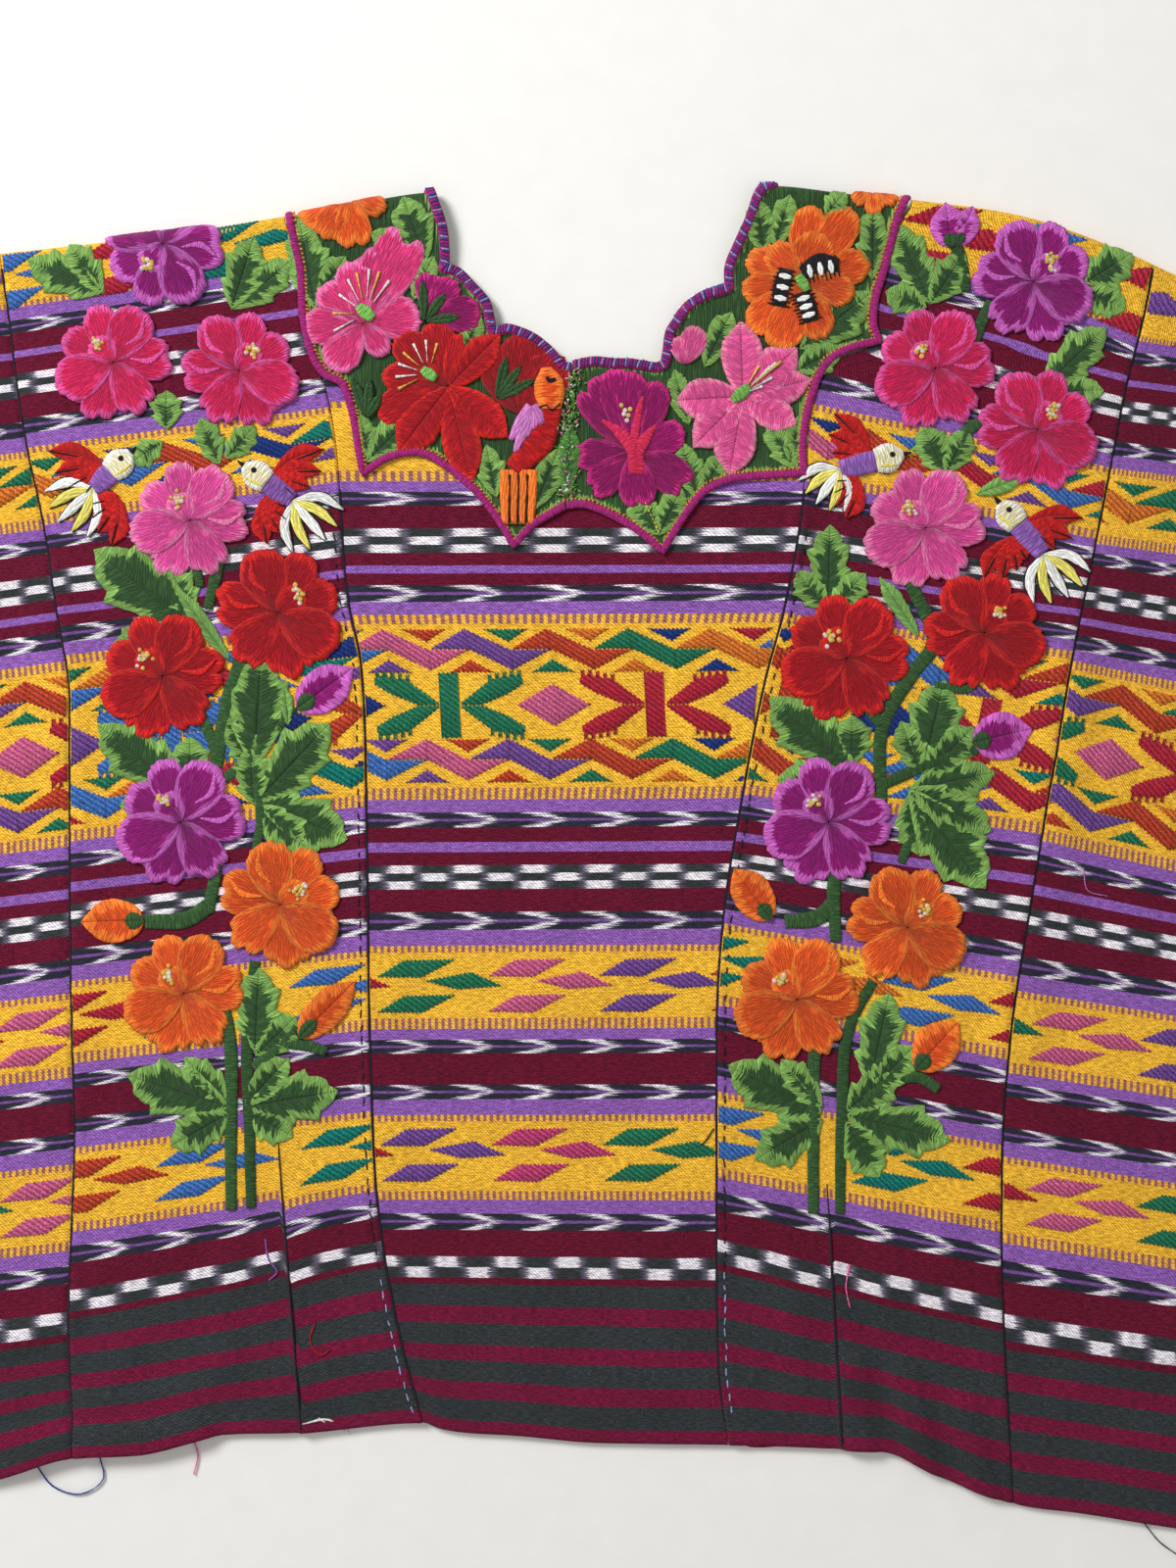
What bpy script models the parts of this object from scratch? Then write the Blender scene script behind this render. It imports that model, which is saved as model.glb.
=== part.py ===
"""Huipil blouse of handwoven banded cotton, laid flat with its front up.

The frame: +X to the right of the laid blouse, +Y toward the shoulders, +Z up.
The origin is in the middle under the blouse. Tables are in millimetres.
"""

from collections import namedtuple
import math

import bmesh
import bpy
import numpy as np

MM = 0.001

# Cloth walls and the room between pieces, in millimetres
PANEL_WALL = 1.5
BACK_WALL = 1.5
STRIP_WALL = 2.0
YOKE_WALL = 2.2
BINDING_WALL = 1.2
LAYER_GAP = 0.3
SEAM_GAP = 0.3
BINDING_LIFT = 0.5

# The soft fold over the shoulders
FOLD_HEIGHT = 7.0
FOLD_RUN = 32.0
FOLD_STEPS = 4

# The whole blouse
HALF_WIDTH = 360.0
YOKE_BINDING_WIDTH = 3.6
NECK_BINDING_WIDTH = 3.0

# Rows and columns of the panels' grids. Panels share their rows below the yoke,
# so both sides of a seam run through the same points.
SHARED_ROWS = 12
SHARED_LEVEL = 2 / 3
STRIP_ROW_LENGTH = 15.0
STRIP_COLUMNS = 14
SIDE_COLUMNS = 4
ROWS_TO_YOKE_FRONT = 4
ROWS_TO_YOKE_BACK = 3
BACK_ROW_STEP = 2
YOKE_COLUMNS = 5
ROW_SOLVER_STEPS = 12

Edge = namedtuple("Edge", "x y")
Band = namedtuple("Band", "neck_x neck_y outer_x outer_y")
Motif = namedtuple("Motif", "x y half_width half_height rise")
Crease = namedtuple("Crease", "x0 y0 x1 y1 half_width rise")

# The shoulder fold, left to right
SHOULDER = [
    Edge(-360, 297), Edge(-294, 305), Edge(-240, 311), Edge(-181, 319),
    Edge(-132, 327), Edge(-78, 336), Edge(0, 338), Edge(92, 339), Edge(130, 335),
    Edge(162, 332), Edge(220, 323), Edge(270, 305), Edge(294, 294), Edge(360, 269),
]

# The hem, left to right, stepped and rippled as it lies
HEM = [
    Edge(-360, -319), Edge(-294, -305), Edge(-258, -294), Edge(-223, -292),
    Edge(-181, -283), Edge(-143, -282), Edge(-82, -277), Edge(-74, -280),
    Edge(-31, -284), Edge(0, -287), Edge(62, -288), Edge(124, -290),
    Edge(150, -292), Edge(178, -305), Edge(214, -318), Edge(244, -322),
    Edge(294, -330), Edge(360, -339),
]

# Seams from the hem up to the shoulder
LEFT_SIDE_SEAM = [
    Edge(-256, -294), Edge(-259, -231), Edge(-256, -130), Edge(-258, -11),
    Edge(-258, 83), Edge(-264, 124), Edge(-272, 173), Edge(-282, 222),
    Edge(-289, 276), Edge(-292, 305),
]
RIGHT_SIDE_SEAM = [
    Edge(212, -316), Edge(207, -222), Edge(206, -175), Edge(210, -86),
    Edge(220, -20), Edge(233, 58), Edge(244, 120), Edge(256, 176),
    Edge(268, 238), Edge(277, 275), Edge(281, 301),
]
LEFT_STRIP_EDGE = [
    Edge(-82, -277), Edge(-92, -241), Edge(-104, -175), Edge(-108, -105),
    Edge(-110, 8), Edge(-113, 101), Edge(-119, 130),
]
RIGHT_STRIP_EDGE = [
    Edge(70, -288), Edge(65, -250), Edge(64, -175), Edge(64, -86), Edge(68, -20),
    Edge(77, 36), Edge(88, 92), Edge(98, 130),
]
LEFT_STRIP_AT_YOKE = [
    Edge(-133, 246), Edge(-139, 257), Edge(-143, 275), Edge(-144, 296),
    Edge(-147, 311), Edge(-150.5, 322), Edge(-151, 330),
]
RIGHT_STRIP_AT_YOKE = [
    Edge(108, 196), Edge(108.5, 214), Edge(113, 236), Edge(121, 249.5),
    Edge(132, 256), Edge(146.5, 261), Edge(143.5, 270), Edge(144.5, 283),
    Edge(148.5, 296), Edge(151.5, 308), Edge(155.5, 321), Edge(160.5, 328),
    Edge(161, 336),
]

# The yoke halves, from the shoulder down to the centre seam
LEFT_YOKE = [
    Band(-78, 336, -149, 324), Band(-75, 329, -146, 311), Band(-71, 318, -143, 296),
    Band(-70, 304, -142, 275), Band(-71, 299, -138, 257), Band(-64, 297, -132, 246),
    Band(-57, 290, -122, 240), Band(-50, 282, -117, 225), Band(-48, 274, -114, 207),
    Band(-47, 268, -112, 196), Band(-43, 268, -99, 204), Band(-39, 269, -83, 206),
    Band(-32, 267, -67, 197), Band(-26, 264, -54, 185), Band(-21, 260, -44, 172),
    Band(-17, 256, -37, 160), Band(-13, 251, -28, 170), Band(-10, 250, -20, 175),
    Band(-8, 250, -11.3, 180),
]
RIGHT_YOKE = [
    Band(92, 339, 159, 332), Band(84, 334, 154, 322), Band(79, 322, 150, 308),
    Band(73, 309, 147, 296), Band(69, 299, 143, 283), Band(69, 289, 142, 270),
    Band(65, 287, 145, 262), Band(60, 286, 130, 258), Band(55, 284, 119, 251),
    Band(50, 281, 112, 237), Band(46, 277, 107, 214), Band(43, 272, 107, 196),
    Band(40, 267, 91, 195), Band(39, 259, 71, 193), Band(38, 252, 58, 187),
    Band(34, 250, 48, 175), Band(27, 251, 37, 157), Band(20, 252, 27, 166),
    Band(13, 252, 16, 173), Band(3, 253, 0, 180), Band(-7.4, 251, -10.7, 180),
]

# Where the centre panel is cut, just clear of the yoke's points
CENTER_TOP = [
    Edge(-131, 243), Edge(-124.5, 239), Edge(-118.7, 226), Edge(-115.3, 207),
    Edge(-113, 194), Edge(-99, 202.5), Edge(-83, 204.5), Edge(-67, 195.5),
    Edge(-54, 183.5), Edge(-45, 170.5), Edge(-37, 157), Edge(-28, 168.5),
    Edge(-20, 173.5), Edge(-11, 178.5), Edge(0, 178.5), Edge(16, 171.5),
    Edge(27, 164.5), Edge(37, 154), Edge(48, 173), Edge(58, 185.5),
    Edge(71, 191.5), Edge(91, 193.5), Edge(107, 194),
]

# Thick satin embroidery: roses, leaves, birds and stems
LEFT_STRIP_MOTIFS = [
    Motif(-210, 303, 32, 18, 1.6), Motif(-236, 251, 30, 37, 1.8),
    Motif(-174, 247, 30, 35, 1.8), Motif(-198, 171, 29, 34, 1.8),
    Motif(-153, 128, 31, 35, 1.8), Motif(-212, 95, 32, 33, 1.8),
    Motif(-202, 19, 32, 33, 1.8), Motif(-152, -18, 32, 37, 1.8),
    Motif(-201, -62, 30, 35, 1.8), Motif(-257, 289, 16, 14, 1.1),
    Motif(-166, 294, 14, 20, 1.1), Motif(-233, 134, 20, 24, 1.1),
    Motif(-152, 46, 28, 30, 1.1), Motif(-220, 51, 22, 17, 1.1),
    Motif(-161, -76, 17, 29, 1.1), Motif(-206, -113, 24, 20, 1.1),
    Motif(-147, -113, 26, 20, 1.1), Motif(-174, -145, 9, 26, 1.2),
    Motif(-243, 191, 20, 22, 1.3), Motif(-154, 188, 20, 24, 1.3),
]
RIGHT_STRIP_MOTIFS = [
    Motif(179, 316, 16, 12, 1.6), Motif(223, 291, 31, 31, 1.8),
    Motif(174, 252, 32, 33, 1.8), Motif(225, 218, 31, 30, 1.8),
    Motif(167, 171, 33, 30, 1.8), Motif(128, 105, 36, 35, 1.8),
    Motif(196, 117, 31, 35, 1.8), Motif(119, 24, 34, 33, 1.8),
    Motif(159, -30, 32, 34, 1.8), Motif(104, -64, 32, 36, 1.8),
    Motif(164, 298, 14, 20, 1.1), Motif(257, 291, 12, 12, 1.1),
    Motif(243, 249, 14, 18, 1.1), Motif(172, 210, 16, 10, 1.1),
    Motif(115, 139, 14, 24, 1.1), Motif(113, 68, 20, 16, 1.1),
    Motif(181, 12, 22, 26, 1.1), Motif(184, 51, 24, 22, 1.1),
    Motif(207, 63, 16, 12, 1.1), Motif(147, -86, 18, 26, 1.1),
    Motif(174, -89, 12, 18, 1.1), Motif(93, -118, 22, 24, 1.1),
    Motif(149, -130, 24, 20, 1.1), Motif(119, -150, 9, 26, 1.2),
    Motif(132, 200, 22, 22, 1.3), Motif(223, 161, 22, 26, 1.3),
]
YOKE_MOTIFS = [
    Motif(-122, 323, 26, 12, 1.2), Motif(-111, 276, 28, 34, 1.4),
    Motif(-66, 276, 15, 20, 1.2), Motif(-77, 227, 30, 33, 1.4),
    Motif(-29, 213, 14, 38, 1.2), Motif(22, 213, 27, 34, 1.4),
    Motif(76, 232, 32, 36, 1.4), Motif(108, 291, 30, 34, 1.4),
    Motif(142, 325, 14, 10, 1.0),
]

# Tucks stitched flat in the strips, and the largest soft folds of the front
TUCKS = [
    Crease(-155, -128, -143, -280, 6, 1.3), Crease(119, -158, 126, -288, 6, 1.3),
]
FOLDS = [
    Crease(-330, -298, -200, -285, 13, 4.0), Crease(137, -292, 131, -250, 8, 2.8),
    Crease(167, -300, 158, -252, 8, 3.0), Crease(196, -312, 188, -270, 8, 2.4),
    Crease(-266, 139, -256, -110, 15, 1.8), Crease(246, 130, 212, -90, 15, 2.2),
    Crease(98, 178, 52, -8, 18, 1.2), Crease(-108, 150, -100, -155, 12, 1.0),
    Crease(-336, 190, -326, -160, 22, 2.2), Crease(326, 190, 334, -210, 22, 2.5),
]

MAROON = (0.11, 0.006, 0.03)
YOKE_GREEN = (0.035, 0.09, 0.025)
MAGENTA = (0.26, 0.008, 0.12)
NAVY = (0.02, 0.03, 0.16)
CLOTH_ROUGHNESS = 0.85


def edge_along_x(table):
    """Return y as a function of x along a table of edge points."""
    xs = [row.x for row in table]
    ys = [row.y for row in table]
    return lambda x: np.interp(x, xs, ys)


def edge_along_y(table):
    """Return x as a function of y along a table of edge points."""
    xs = [row.x for row in table]
    ys = [row.y for row in table]
    return lambda y: np.interp(y, ys, xs)


shoulder = edge_along_x(SHOULDER)
hem = edge_along_x(HEM)


def below_fold(x):
    """Where the shoulder fold begins to turn."""
    return shoulder(x) - FOLD_HEIGHT / 2


def row_levels(at_yoke, step):
    """Levels of the rows beside a strip: shared ones, then the yoke edge's own."""
    levels = [SHARED_LEVEL * k / SHARED_ROWS for k in range(0, SHARED_ROWS + 1, step)]
    for point in at_yoke:
        level = (point.y - hem(point.x)) / (below_fold(point.x) - hem(point.x))
        if level < 1:
            levels.append(level)
    return levels + [1.0]


def seam_through_rows(edge, levels):
    """The seam as straight runs between the rows of the panels that it joins."""
    xs, ys = [], []
    for level in levels:
        x, y = point_at_level(edge, level)
        xs.append(x)
        ys.append(y)
    return lambda y: np.interp(y, ys, xs)


def point_at_level(edge, level):
    """The point of an edge at a level from 0 at the hem to 1 at the shoulder."""
    x, y = edge(0.0), 0.0
    for _ in range(ROW_SOLVER_STEPS):
        y = hem(x) + (below_fold(x) - hem(x)) * level
        x = edge(y)
    return x, y


def smooth(t):
    """Ease from 0 to 1."""
    t = min(max(t, 0.0), 1.0)
    return t * t * (3 - 2 * t)


def crease_height(x, y, creases):
    """Height of soft ridges that die away along their sides and at their ends."""
    height = 0.0
    for c in creases:
        run_x, run_y = c.x1 - c.x0, c.y1 - c.y0
        length_squared = run_x ** 2 + run_y ** 2
        along = ((x - c.x0) * run_x + (y - c.y0) * run_y) / length_squared
        along = min(max(along, 0.0), 1.0)
        away = math.hypot(x - c.x0 - along * run_x, y - c.y0 - along * run_y)
        height = max(height, c.rise * smooth(1.4 - away / c.half_width))
    return height


def motif_height(x, y, motifs):
    """Height of the stitched motifs over the bare cloth."""
    height = 0.0
    for m in motifs:
        reach = math.hypot((x - m.x) / m.half_width, (y - m.y) / m.half_height)
        height = max(height, m.rise * smooth((1.12 - reach) / 0.3))
    return height


def inside_height(x, y, wall):
    """Height of the front layer's inside: over the back, swelling to the fold."""
    flat = BACK_WALL + LAYER_GAP
    lift = FOLD_HEIGHT - wall - flat
    return flat + crease_height(x, y, FOLDS) + lift * smooth(
        1 - (shoulder(x) - y - FOLD_HEIGHT / 2) / FOLD_RUN)


def front_row(points, wall, motifs):
    """One row of the front layer: its outer points and its inner points."""
    outer, inner = [], []
    for x, y in points:
        z = inside_height(x, y, wall)
        relief = motif_height(x, y, motifs) + crease_height(x, y, TUCKS)
        outer.append((x, y, z + wall + relief))
        inner.append((x, y, z))
    return outer, inner


def plain_front_row(points):
    """One row of the front layer with nothing stitched on it."""
    return front_row(points, PANEL_WALL, [])


def fold_rows(points, wall):
    """Rows round the shoulder fold, from the front layer down to the back."""
    radius = FOLD_HEIGHT / 2
    for step in range(1, FOLD_STEPS):
        angle = math.pi * step / FOLD_STEPS
        out, up = math.sin(angle), math.cos(angle)
        inner_radius = radius - wall
        yield ([(x, y + radius * out, radius + radius * up) for x, y in points],
               [(x, y + inner_radius * out, radius + inner_radius * up) for x, y in points])


def back_row(points):
    """One row of the back layer, flat on what it rests on."""
    return [(x, y, 0.0) for x, y in points], [(x, y, BACK_WALL) for x, y in points]


def cloth_material(name, color):
    material = bpy.data.materials.new(name)
    material.use_nodes = True
    shader = material.node_tree.nodes["Principled BSDF"]
    shader.inputs["Base Color"].default_value = (*color, 1.0)
    shader.inputs["Roughness"].default_value = CLOTH_ROUGHNESS
    shader.inputs["Metallic"].default_value = 0.0
    return material


def wall_object(name, rows, color, collection):
    """Close rows of outer and inner points into one solid wall of cloth."""
    bm = bmesh.new()
    outer = [[bm.verts.new(np.array(p) * MM) for p in row[0]] for row in rows]
    inner = [[bm.verts.new(np.array(p) * MM) for p in row[1]] for row in rows]
    last_row, last_column = len(rows) - 1, len(outer[0]) - 1
    for r in range(last_row):
        for c in range(last_column):
            for skin in (outer, inner):
                bm.faces.new((skin[r][c], skin[r][c + 1], skin[r + 1][c + 1], skin[r + 1][c]))
        for c in (0, last_column):
            bm.faces.new((outer[r][c], outer[r + 1][c], inner[r + 1][c], inner[r][c]))
    for c in range(last_column):
        for r in (0, last_row):
            bm.faces.new((outer[r][c], outer[r][c + 1], inner[r][c + 1], inner[r][c]))
    bmesh.ops.recalc_face_normals(bm, faces=bm.faces)
    mesh = bpy.data.meshes.new(name)
    bm.to_mesh(mesh)
    bm.free()
    mesh.shade_smooth()
    mesh.set_sharp_from_angle(angle=math.radians(50))
    mesh.materials.append(cloth_material(name, color))
    obj = bpy.data.objects.new(name, mesh)
    collection.objects.link(obj)
    return obj


def panel_points(left, right, columns, level):
    """One row of points across a panel."""
    points = []
    for u in columns:
        def across(y, u=u):
            return left(y) + (right(y) - left(y)) * u
        points.append(point_at_level(across, level))
    return points


def finer_levels(levels):
    """The levels with more rows between those that lie far apart."""
    height = shoulder(0.0) - hem(0.0)
    finer = [levels[0]]
    for low, high in zip(levels, levels[1:]):
        count = math.ceil((high - low) * height / STRIP_ROW_LENGTH)
        finer += list(np.linspace(low, high, count + 1)[1:])
    return finer


def shifted(edge, by):
    """An edge moved aside, to leave the seam's gap."""
    return lambda y: edge(y) + by


def folded_panel(name, edges, columns, wall, motifs, levels, collection):
    """A panel from its front hem, over the shoulder, to its back hem."""
    front_levels, back_levels = levels
    (left, right), (back_left, back_right) = edges
    rows = [front_row(panel_points(left, right, columns, level), wall, motifs)
            for level in front_levels]
    at_fold = panel_points(left, right, columns, 1.0)
    rows += list(fold_rows(at_fold, wall))
    rows += [back_row(panel_points(back_left, back_right, columns, level))
             for level in reversed(back_levels)]
    wall_object(name, rows, MAROON, collection)


def make_half(side, side_seam, strip_edge, at_yoke, motifs, collection):
    """The flower strip and the side panel of one side."""
    gap = SEAM_GAP / 2
    front_levels, back_levels = row_levels(at_yoke, 1), row_levels(at_yoke, BACK_ROW_STEP)
    strip_edges, side_edges = [], []
    for levels in (front_levels, back_levels):
        outside = seam_through_rows(edge_along_y(side_seam), levels)
        inside = seam_through_rows(edge_along_y(strip_edge + at_yoke), levels)
        if side == "left":
            strip_edges.append((shifted(outside, gap), shifted(inside, -gap)))
            side_edges.append((lambda y: -HALF_WIDTH, shifted(outside, -gap)))
        else:
            strip_edges.append((shifted(inside, gap), shifted(outside, -gap)))
            side_edges.append((shifted(outside, gap), lambda y: HALF_WIDTH))
    folded_panel("flower_strip_" + side, strip_edges, np.linspace(0, 1, STRIP_COLUMNS + 1),
                 STRIP_WALL, motifs, (finer_levels(front_levels), back_levels), collection)
    folded_panel("side_panel_" + side, side_edges, np.linspace(0, 1, SIDE_COLUMNS + 1),
                 PANEL_WALL, [], (front_levels, back_levels), collection)


def make_center_panels(collection):
    gap = SEAM_GAP / 2
    first, last = CENTER_TOP[0].x, CENTER_TOP[-1].x
    columns = [(row.x - first) / (last - first) for row in CENTER_TOP]
    layers = [("center_front", plain_front_row, 1, ROWS_TO_YOKE_FRONT),
              ("center_back", back_row, BACK_ROW_STEP, ROWS_TO_YOKE_BACK)]
    for name, make_row, step, rows_to_yoke in layers:
        left_levels = row_levels(LEFT_STRIP_AT_YOKE, step)
        right_levels = row_levels(RIGHT_STRIP_AT_YOKE, step)
        left_edge = edge_along_y(LEFT_STRIP_EDGE + LEFT_STRIP_AT_YOKE)
        right_edge = edge_along_y(RIGHT_STRIP_EDGE + RIGHT_STRIP_AT_YOKE)
        left = shifted(seam_through_rows(left_edge, left_levels), gap)
        right = shifted(seam_through_rows(right_edge, right_levels), -gap)
        shared = left_levels[:SHARED_ROWS // step + 1]
        rows = [panel_points(left, right, columns, level) for level in shared]
        top_row = [(row.x, row.y) for row in CENTER_TOP]
        top_row[0] = (left(CENTER_TOP[0].y), CENTER_TOP[0].y)
        top_row[-1] = (right(CENTER_TOP[-1].y), CENTER_TOP[-1].y)
        for t in np.linspace(0, 1, rows_to_yoke + 1)[1:]:
            rows.append(between_rows(rows[len(shared) - 1], top_row, t))
        wall_object(name, [make_row(points) for points in rows], MAROON, collection)


def between_rows(low_row, high_row, t):
    """A row part of the way from one row to another."""
    return [(low[0] + (high[0] - low[0]) * t, low[1] + (high[1] - low[1]) * t)
            for low, high in zip(low_row, high_row)]


def yoke_points(band, drop):
    """Points across the yoke, from the neck edge to the outer edge."""
    across = np.linspace(0, 1, YOKE_COLUMNS + 1)
    return [(band.neck_x + (band.outer_x - band.neck_x) * t,
             band.neck_y + (band.outer_y - band.neck_y) * t - drop) for t in across]


def make_yoke(name, bands, collection):
    drop = FOLD_HEIGHT / 2
    at_fold = yoke_points(bands[0], drop)
    below = [yoke_points(band, 0.0) for band in bands[1:]]
    rows = [front_row(points, YOKE_WALL, YOKE_MOTIFS) for points in reversed(below)]
    rows.append(front_row(at_fold, YOKE_WALL, YOKE_MOTIFS))
    rows += list(fold_rows(at_fold, YOKE_WALL))
    rows += [back_row(points) for points in [at_fold] + below]
    wall_object(name, rows, YOKE_GREEN, collection)


def binding_rows(bands, inset, outset, side):
    """A narrow band along one edge of a yoke half, just over the cloth there."""
    rows = []
    for index, band in enumerate(bands):
        drop = FOLD_HEIGHT / 2 if index == 0 else 0.0
        neck = np.array((band.neck_x, band.neck_y - drop))
        outer = np.array((band.outer_x, band.outer_y - drop))
        edge = neck if side == "neck" else outer
        away = (neck - outer) if side == "neck" else (outer - neck)
        away = away / np.linalg.norm(away)
        ends = [edge - away * inset, edge + away * outset]
        motifs = YOKE_MOTIFS + LEFT_STRIP_MOTIFS + RIGHT_STRIP_MOTIFS
        under = max(inside_height(x, y, YOKE_WALL) + YOKE_WALL
                    + motif_height(x, y, motifs) for x, y in ends)
        low = under + BINDING_LIFT
        rows.append(([(*p, low + BINDING_WALL) for p in ends], [(*p, low) for p in ends]))
    return rows


def make_bindings(collection):
    half = YOKE_BINDING_WIDTH / 2
    for side_name, bands in (("left", LEFT_YOKE), ("right", RIGHT_YOKE)):
        outer = binding_rows(bands, half, half, "outer")
        wall_object("yoke_binding_" + side_name, outer, MAGENTA, collection)
        neck = binding_rows(bands, NECK_BINDING_WIDTH, 0.0, "neck")
        wall_object("neck_binding_" + side_name, neck, NAVY, collection)


def clear_scene():
    for obj in list(bpy.data.objects):
        bpy.data.objects.remove(obj, do_unlink=True)


def main():
    clear_scene()
    collection = bpy.data.collections.new("huipil_blouse")
    bpy.context.scene.collection.children.link(collection)
    make_center_panels(collection)
    make_half("left", LEFT_SIDE_SEAM, LEFT_STRIP_EDGE, LEFT_STRIP_AT_YOKE,
              LEFT_STRIP_MOTIFS, collection)
    make_half("right", RIGHT_SIDE_SEAM, RIGHT_STRIP_EDGE, RIGHT_STRIP_AT_YOKE,
              RIGHT_STRIP_MOTIFS, collection)
    make_yoke("yoke_left", LEFT_YOKE, collection)
    make_yoke("yoke_right", RIGHT_YOKE, collection)
    make_bindings(collection)


main()
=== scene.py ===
# %% [markdown]
# # A huipil blouse laid flat
# The real blouse is handwoven cotton in bands, with satin-stitched roses, a
# solid-stitched yoke and a scalloped neck. The solids of the frame give its
# true shape. Here each of them gets a finer cloth with its weave, its brocade
# and its embroidery as real raised thread, so that it also holds up close by.

# %% Load the fixed frame
import math
from functools import partial

import bpy
import numpy as np
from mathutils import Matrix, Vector


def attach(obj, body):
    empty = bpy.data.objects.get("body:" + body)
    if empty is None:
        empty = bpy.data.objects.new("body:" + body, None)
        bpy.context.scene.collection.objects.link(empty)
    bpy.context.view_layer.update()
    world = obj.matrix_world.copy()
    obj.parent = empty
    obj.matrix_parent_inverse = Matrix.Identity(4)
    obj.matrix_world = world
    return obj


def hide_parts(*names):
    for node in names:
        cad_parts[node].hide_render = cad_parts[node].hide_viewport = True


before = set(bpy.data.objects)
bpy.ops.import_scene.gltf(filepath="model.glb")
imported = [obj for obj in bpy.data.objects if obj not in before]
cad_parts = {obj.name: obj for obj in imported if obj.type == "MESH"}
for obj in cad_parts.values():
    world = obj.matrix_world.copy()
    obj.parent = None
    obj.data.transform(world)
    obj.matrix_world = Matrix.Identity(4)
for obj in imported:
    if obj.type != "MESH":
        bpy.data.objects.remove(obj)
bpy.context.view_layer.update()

# %% [markdown]
# ## The cut, in millimetres
# A flat garment is a handful of edges: the shoulder fold, the hem and the
# seams. Short tables hold them, and every piece below is worked out from them,
# so neighbours meet along the same line. The walls match those of the solids.

# %% Edges, walls and folds
MM = 0.001
PANEL_WALL, STRIP_WALL, YOKE_WALL, BACK_WALL = 1.5, 2.0, 2.2, 1.5
LAYER_GAP, SEAM_GAP = 0.3, 0.3
FOLD_HEIGHT, FOLD_RUN = 7.0, 32.0
FOLD_RADIUS = FOLD_HEIGHT / 2
HALF_WIDTH = 360.0

SHOULDER = [
    (-360, 297), (-294, 305), (-240, 311), (-181, 319), (-132, 327), (-78, 336), (0, 338), (92, 339),
    (130, 335), (162, 332), (220, 323), (270, 305), (294, 294), (360, 269)
]
HEM = [
    (-360, -319), (-294, -305), (-258, -294), (-223, -292), (-181, -283), (-143, -282), (-82, -277),
    (-74, -280), (-31, -284), (0, -287), (62, -288), (124, -290), (150, -292), (178, -305), (214, -318),
    (244, -322), (294, -330), (360, -339)
]
LEFT_SIDE_SEAM = [
    (-256, -294), (-259, -231), (-256, -130), (-258, -11), (-258, 83), (-264, 124), (-272, 173),
    (-282, 222), (-289, 276), (-292, 305)
]
RIGHT_SIDE_SEAM = [
    (212, -316), (207, -222), (206, -175), (210, -86), (220, -20), (233, 58), (244, 120), (256, 176),
    (268, 238), (277, 275), (281, 301)
]
LEFT_STRIP_EDGE = [
    (-82, -277), (-92, -241), (-104, -175), (-108, -105), (-110, 8), (-113, 101), (-119, 130), (-133, 246),
    (-139, 257), (-143, 275), (-144, 296), (-147, 311), (-150.5, 322), (-151, 330)
]
RIGHT_STRIP_EDGE = [
    (70, -288), (65, -250), (64, -175), (64, -86), (68, -20), (77, 36), (88, 92), (98, 130), (108, 196),
    (108.5, 214), (113, 236), (121, 249.5), (132, 256), (146.5, 261), (143.5, 270), (144.5, 283),
    (148.5, 296), (151.5, 308), (155.5, 321), (160.5, 328), (161, 336)
]
print("points at the shoulder:", len(SHOULDER), "and at the hem:", len(HEM))

# %% A smooth curve through a table
LEVEL_SLOPE, STEEPEST = 1e-9, 3.0


def hermite(t, run, low, high, low_slope, high_slope):
    """The cubic between two heights that meets both slopes, t from 0 to 1."""
    return (low * (1 + 2 * t) * (1 - t) ** 2 + low_slope * run * t * (1 - t) ** 2
            + high * t * t * (3 - 2 * t) - high_slope * run * t * t * (1 - t))


def soft_curve(points, key, value):
    """A smooth function through a table's points, with no overshoot."""
    xs = np.array([p[key] for p in points], float)
    ys = np.array([p[value] for p in points], float)
    run, slope = np.diff(xs), np.diff(ys) / np.diff(xs)
    tangent = np.concatenate([[slope[0]], (slope[:-1] + slope[1:]) / 2, [slope[-1]]])
    for i in range(len(slope)):
        if abs(slope[i]) < LEVEL_SLOPE:
            tangent[i] = tangent[i + 1] = 0.0
            continue
        a, b = tangent[i] / slope[i], tangent[i + 1] / slope[i]
        tangent[i] *= 1.0 if a >= 0 else 0.0
        tangent[i + 1] *= 1.0 if b >= 0 else 0.0
        steep = math.hypot(max(a, 0), max(b, 0))
        if steep > STEEPEST:
            tangent[i] = STEEPEST * a / steep * slope[i]
            tangent[i + 1] = STEEPEST * b / steep * slope[i]

    def curve(x):
        x = np.clip(np.asarray(x, float), xs[0], xs[-1])
        i = np.clip(np.searchsorted(xs, x) - 1, 0, len(run) - 1)
        t = (x - xs[i]) / run[i]
        return hermite(t, run[i], ys[i], ys[i + 1], tangent[i], tangent[i + 1])

    return curve


shoulder = soft_curve(SHOULDER, 0, 1)
hem = soft_curve(HEM, 0, 1)
left_side_seam = soft_curve(LEFT_SIDE_SEAM, 1, 0)
right_side_seam = soft_curve(RIGHT_SIDE_SEAM, 1, 0)
left_strip_edge = soft_curve(LEFT_STRIP_EDGE, 1, 0)
right_strip_edge = soft_curve(RIGHT_STRIP_EDGE, 1, 0)
print("middle length:", round(float(shoulder(0) - hem(0))), "mm")
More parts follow.
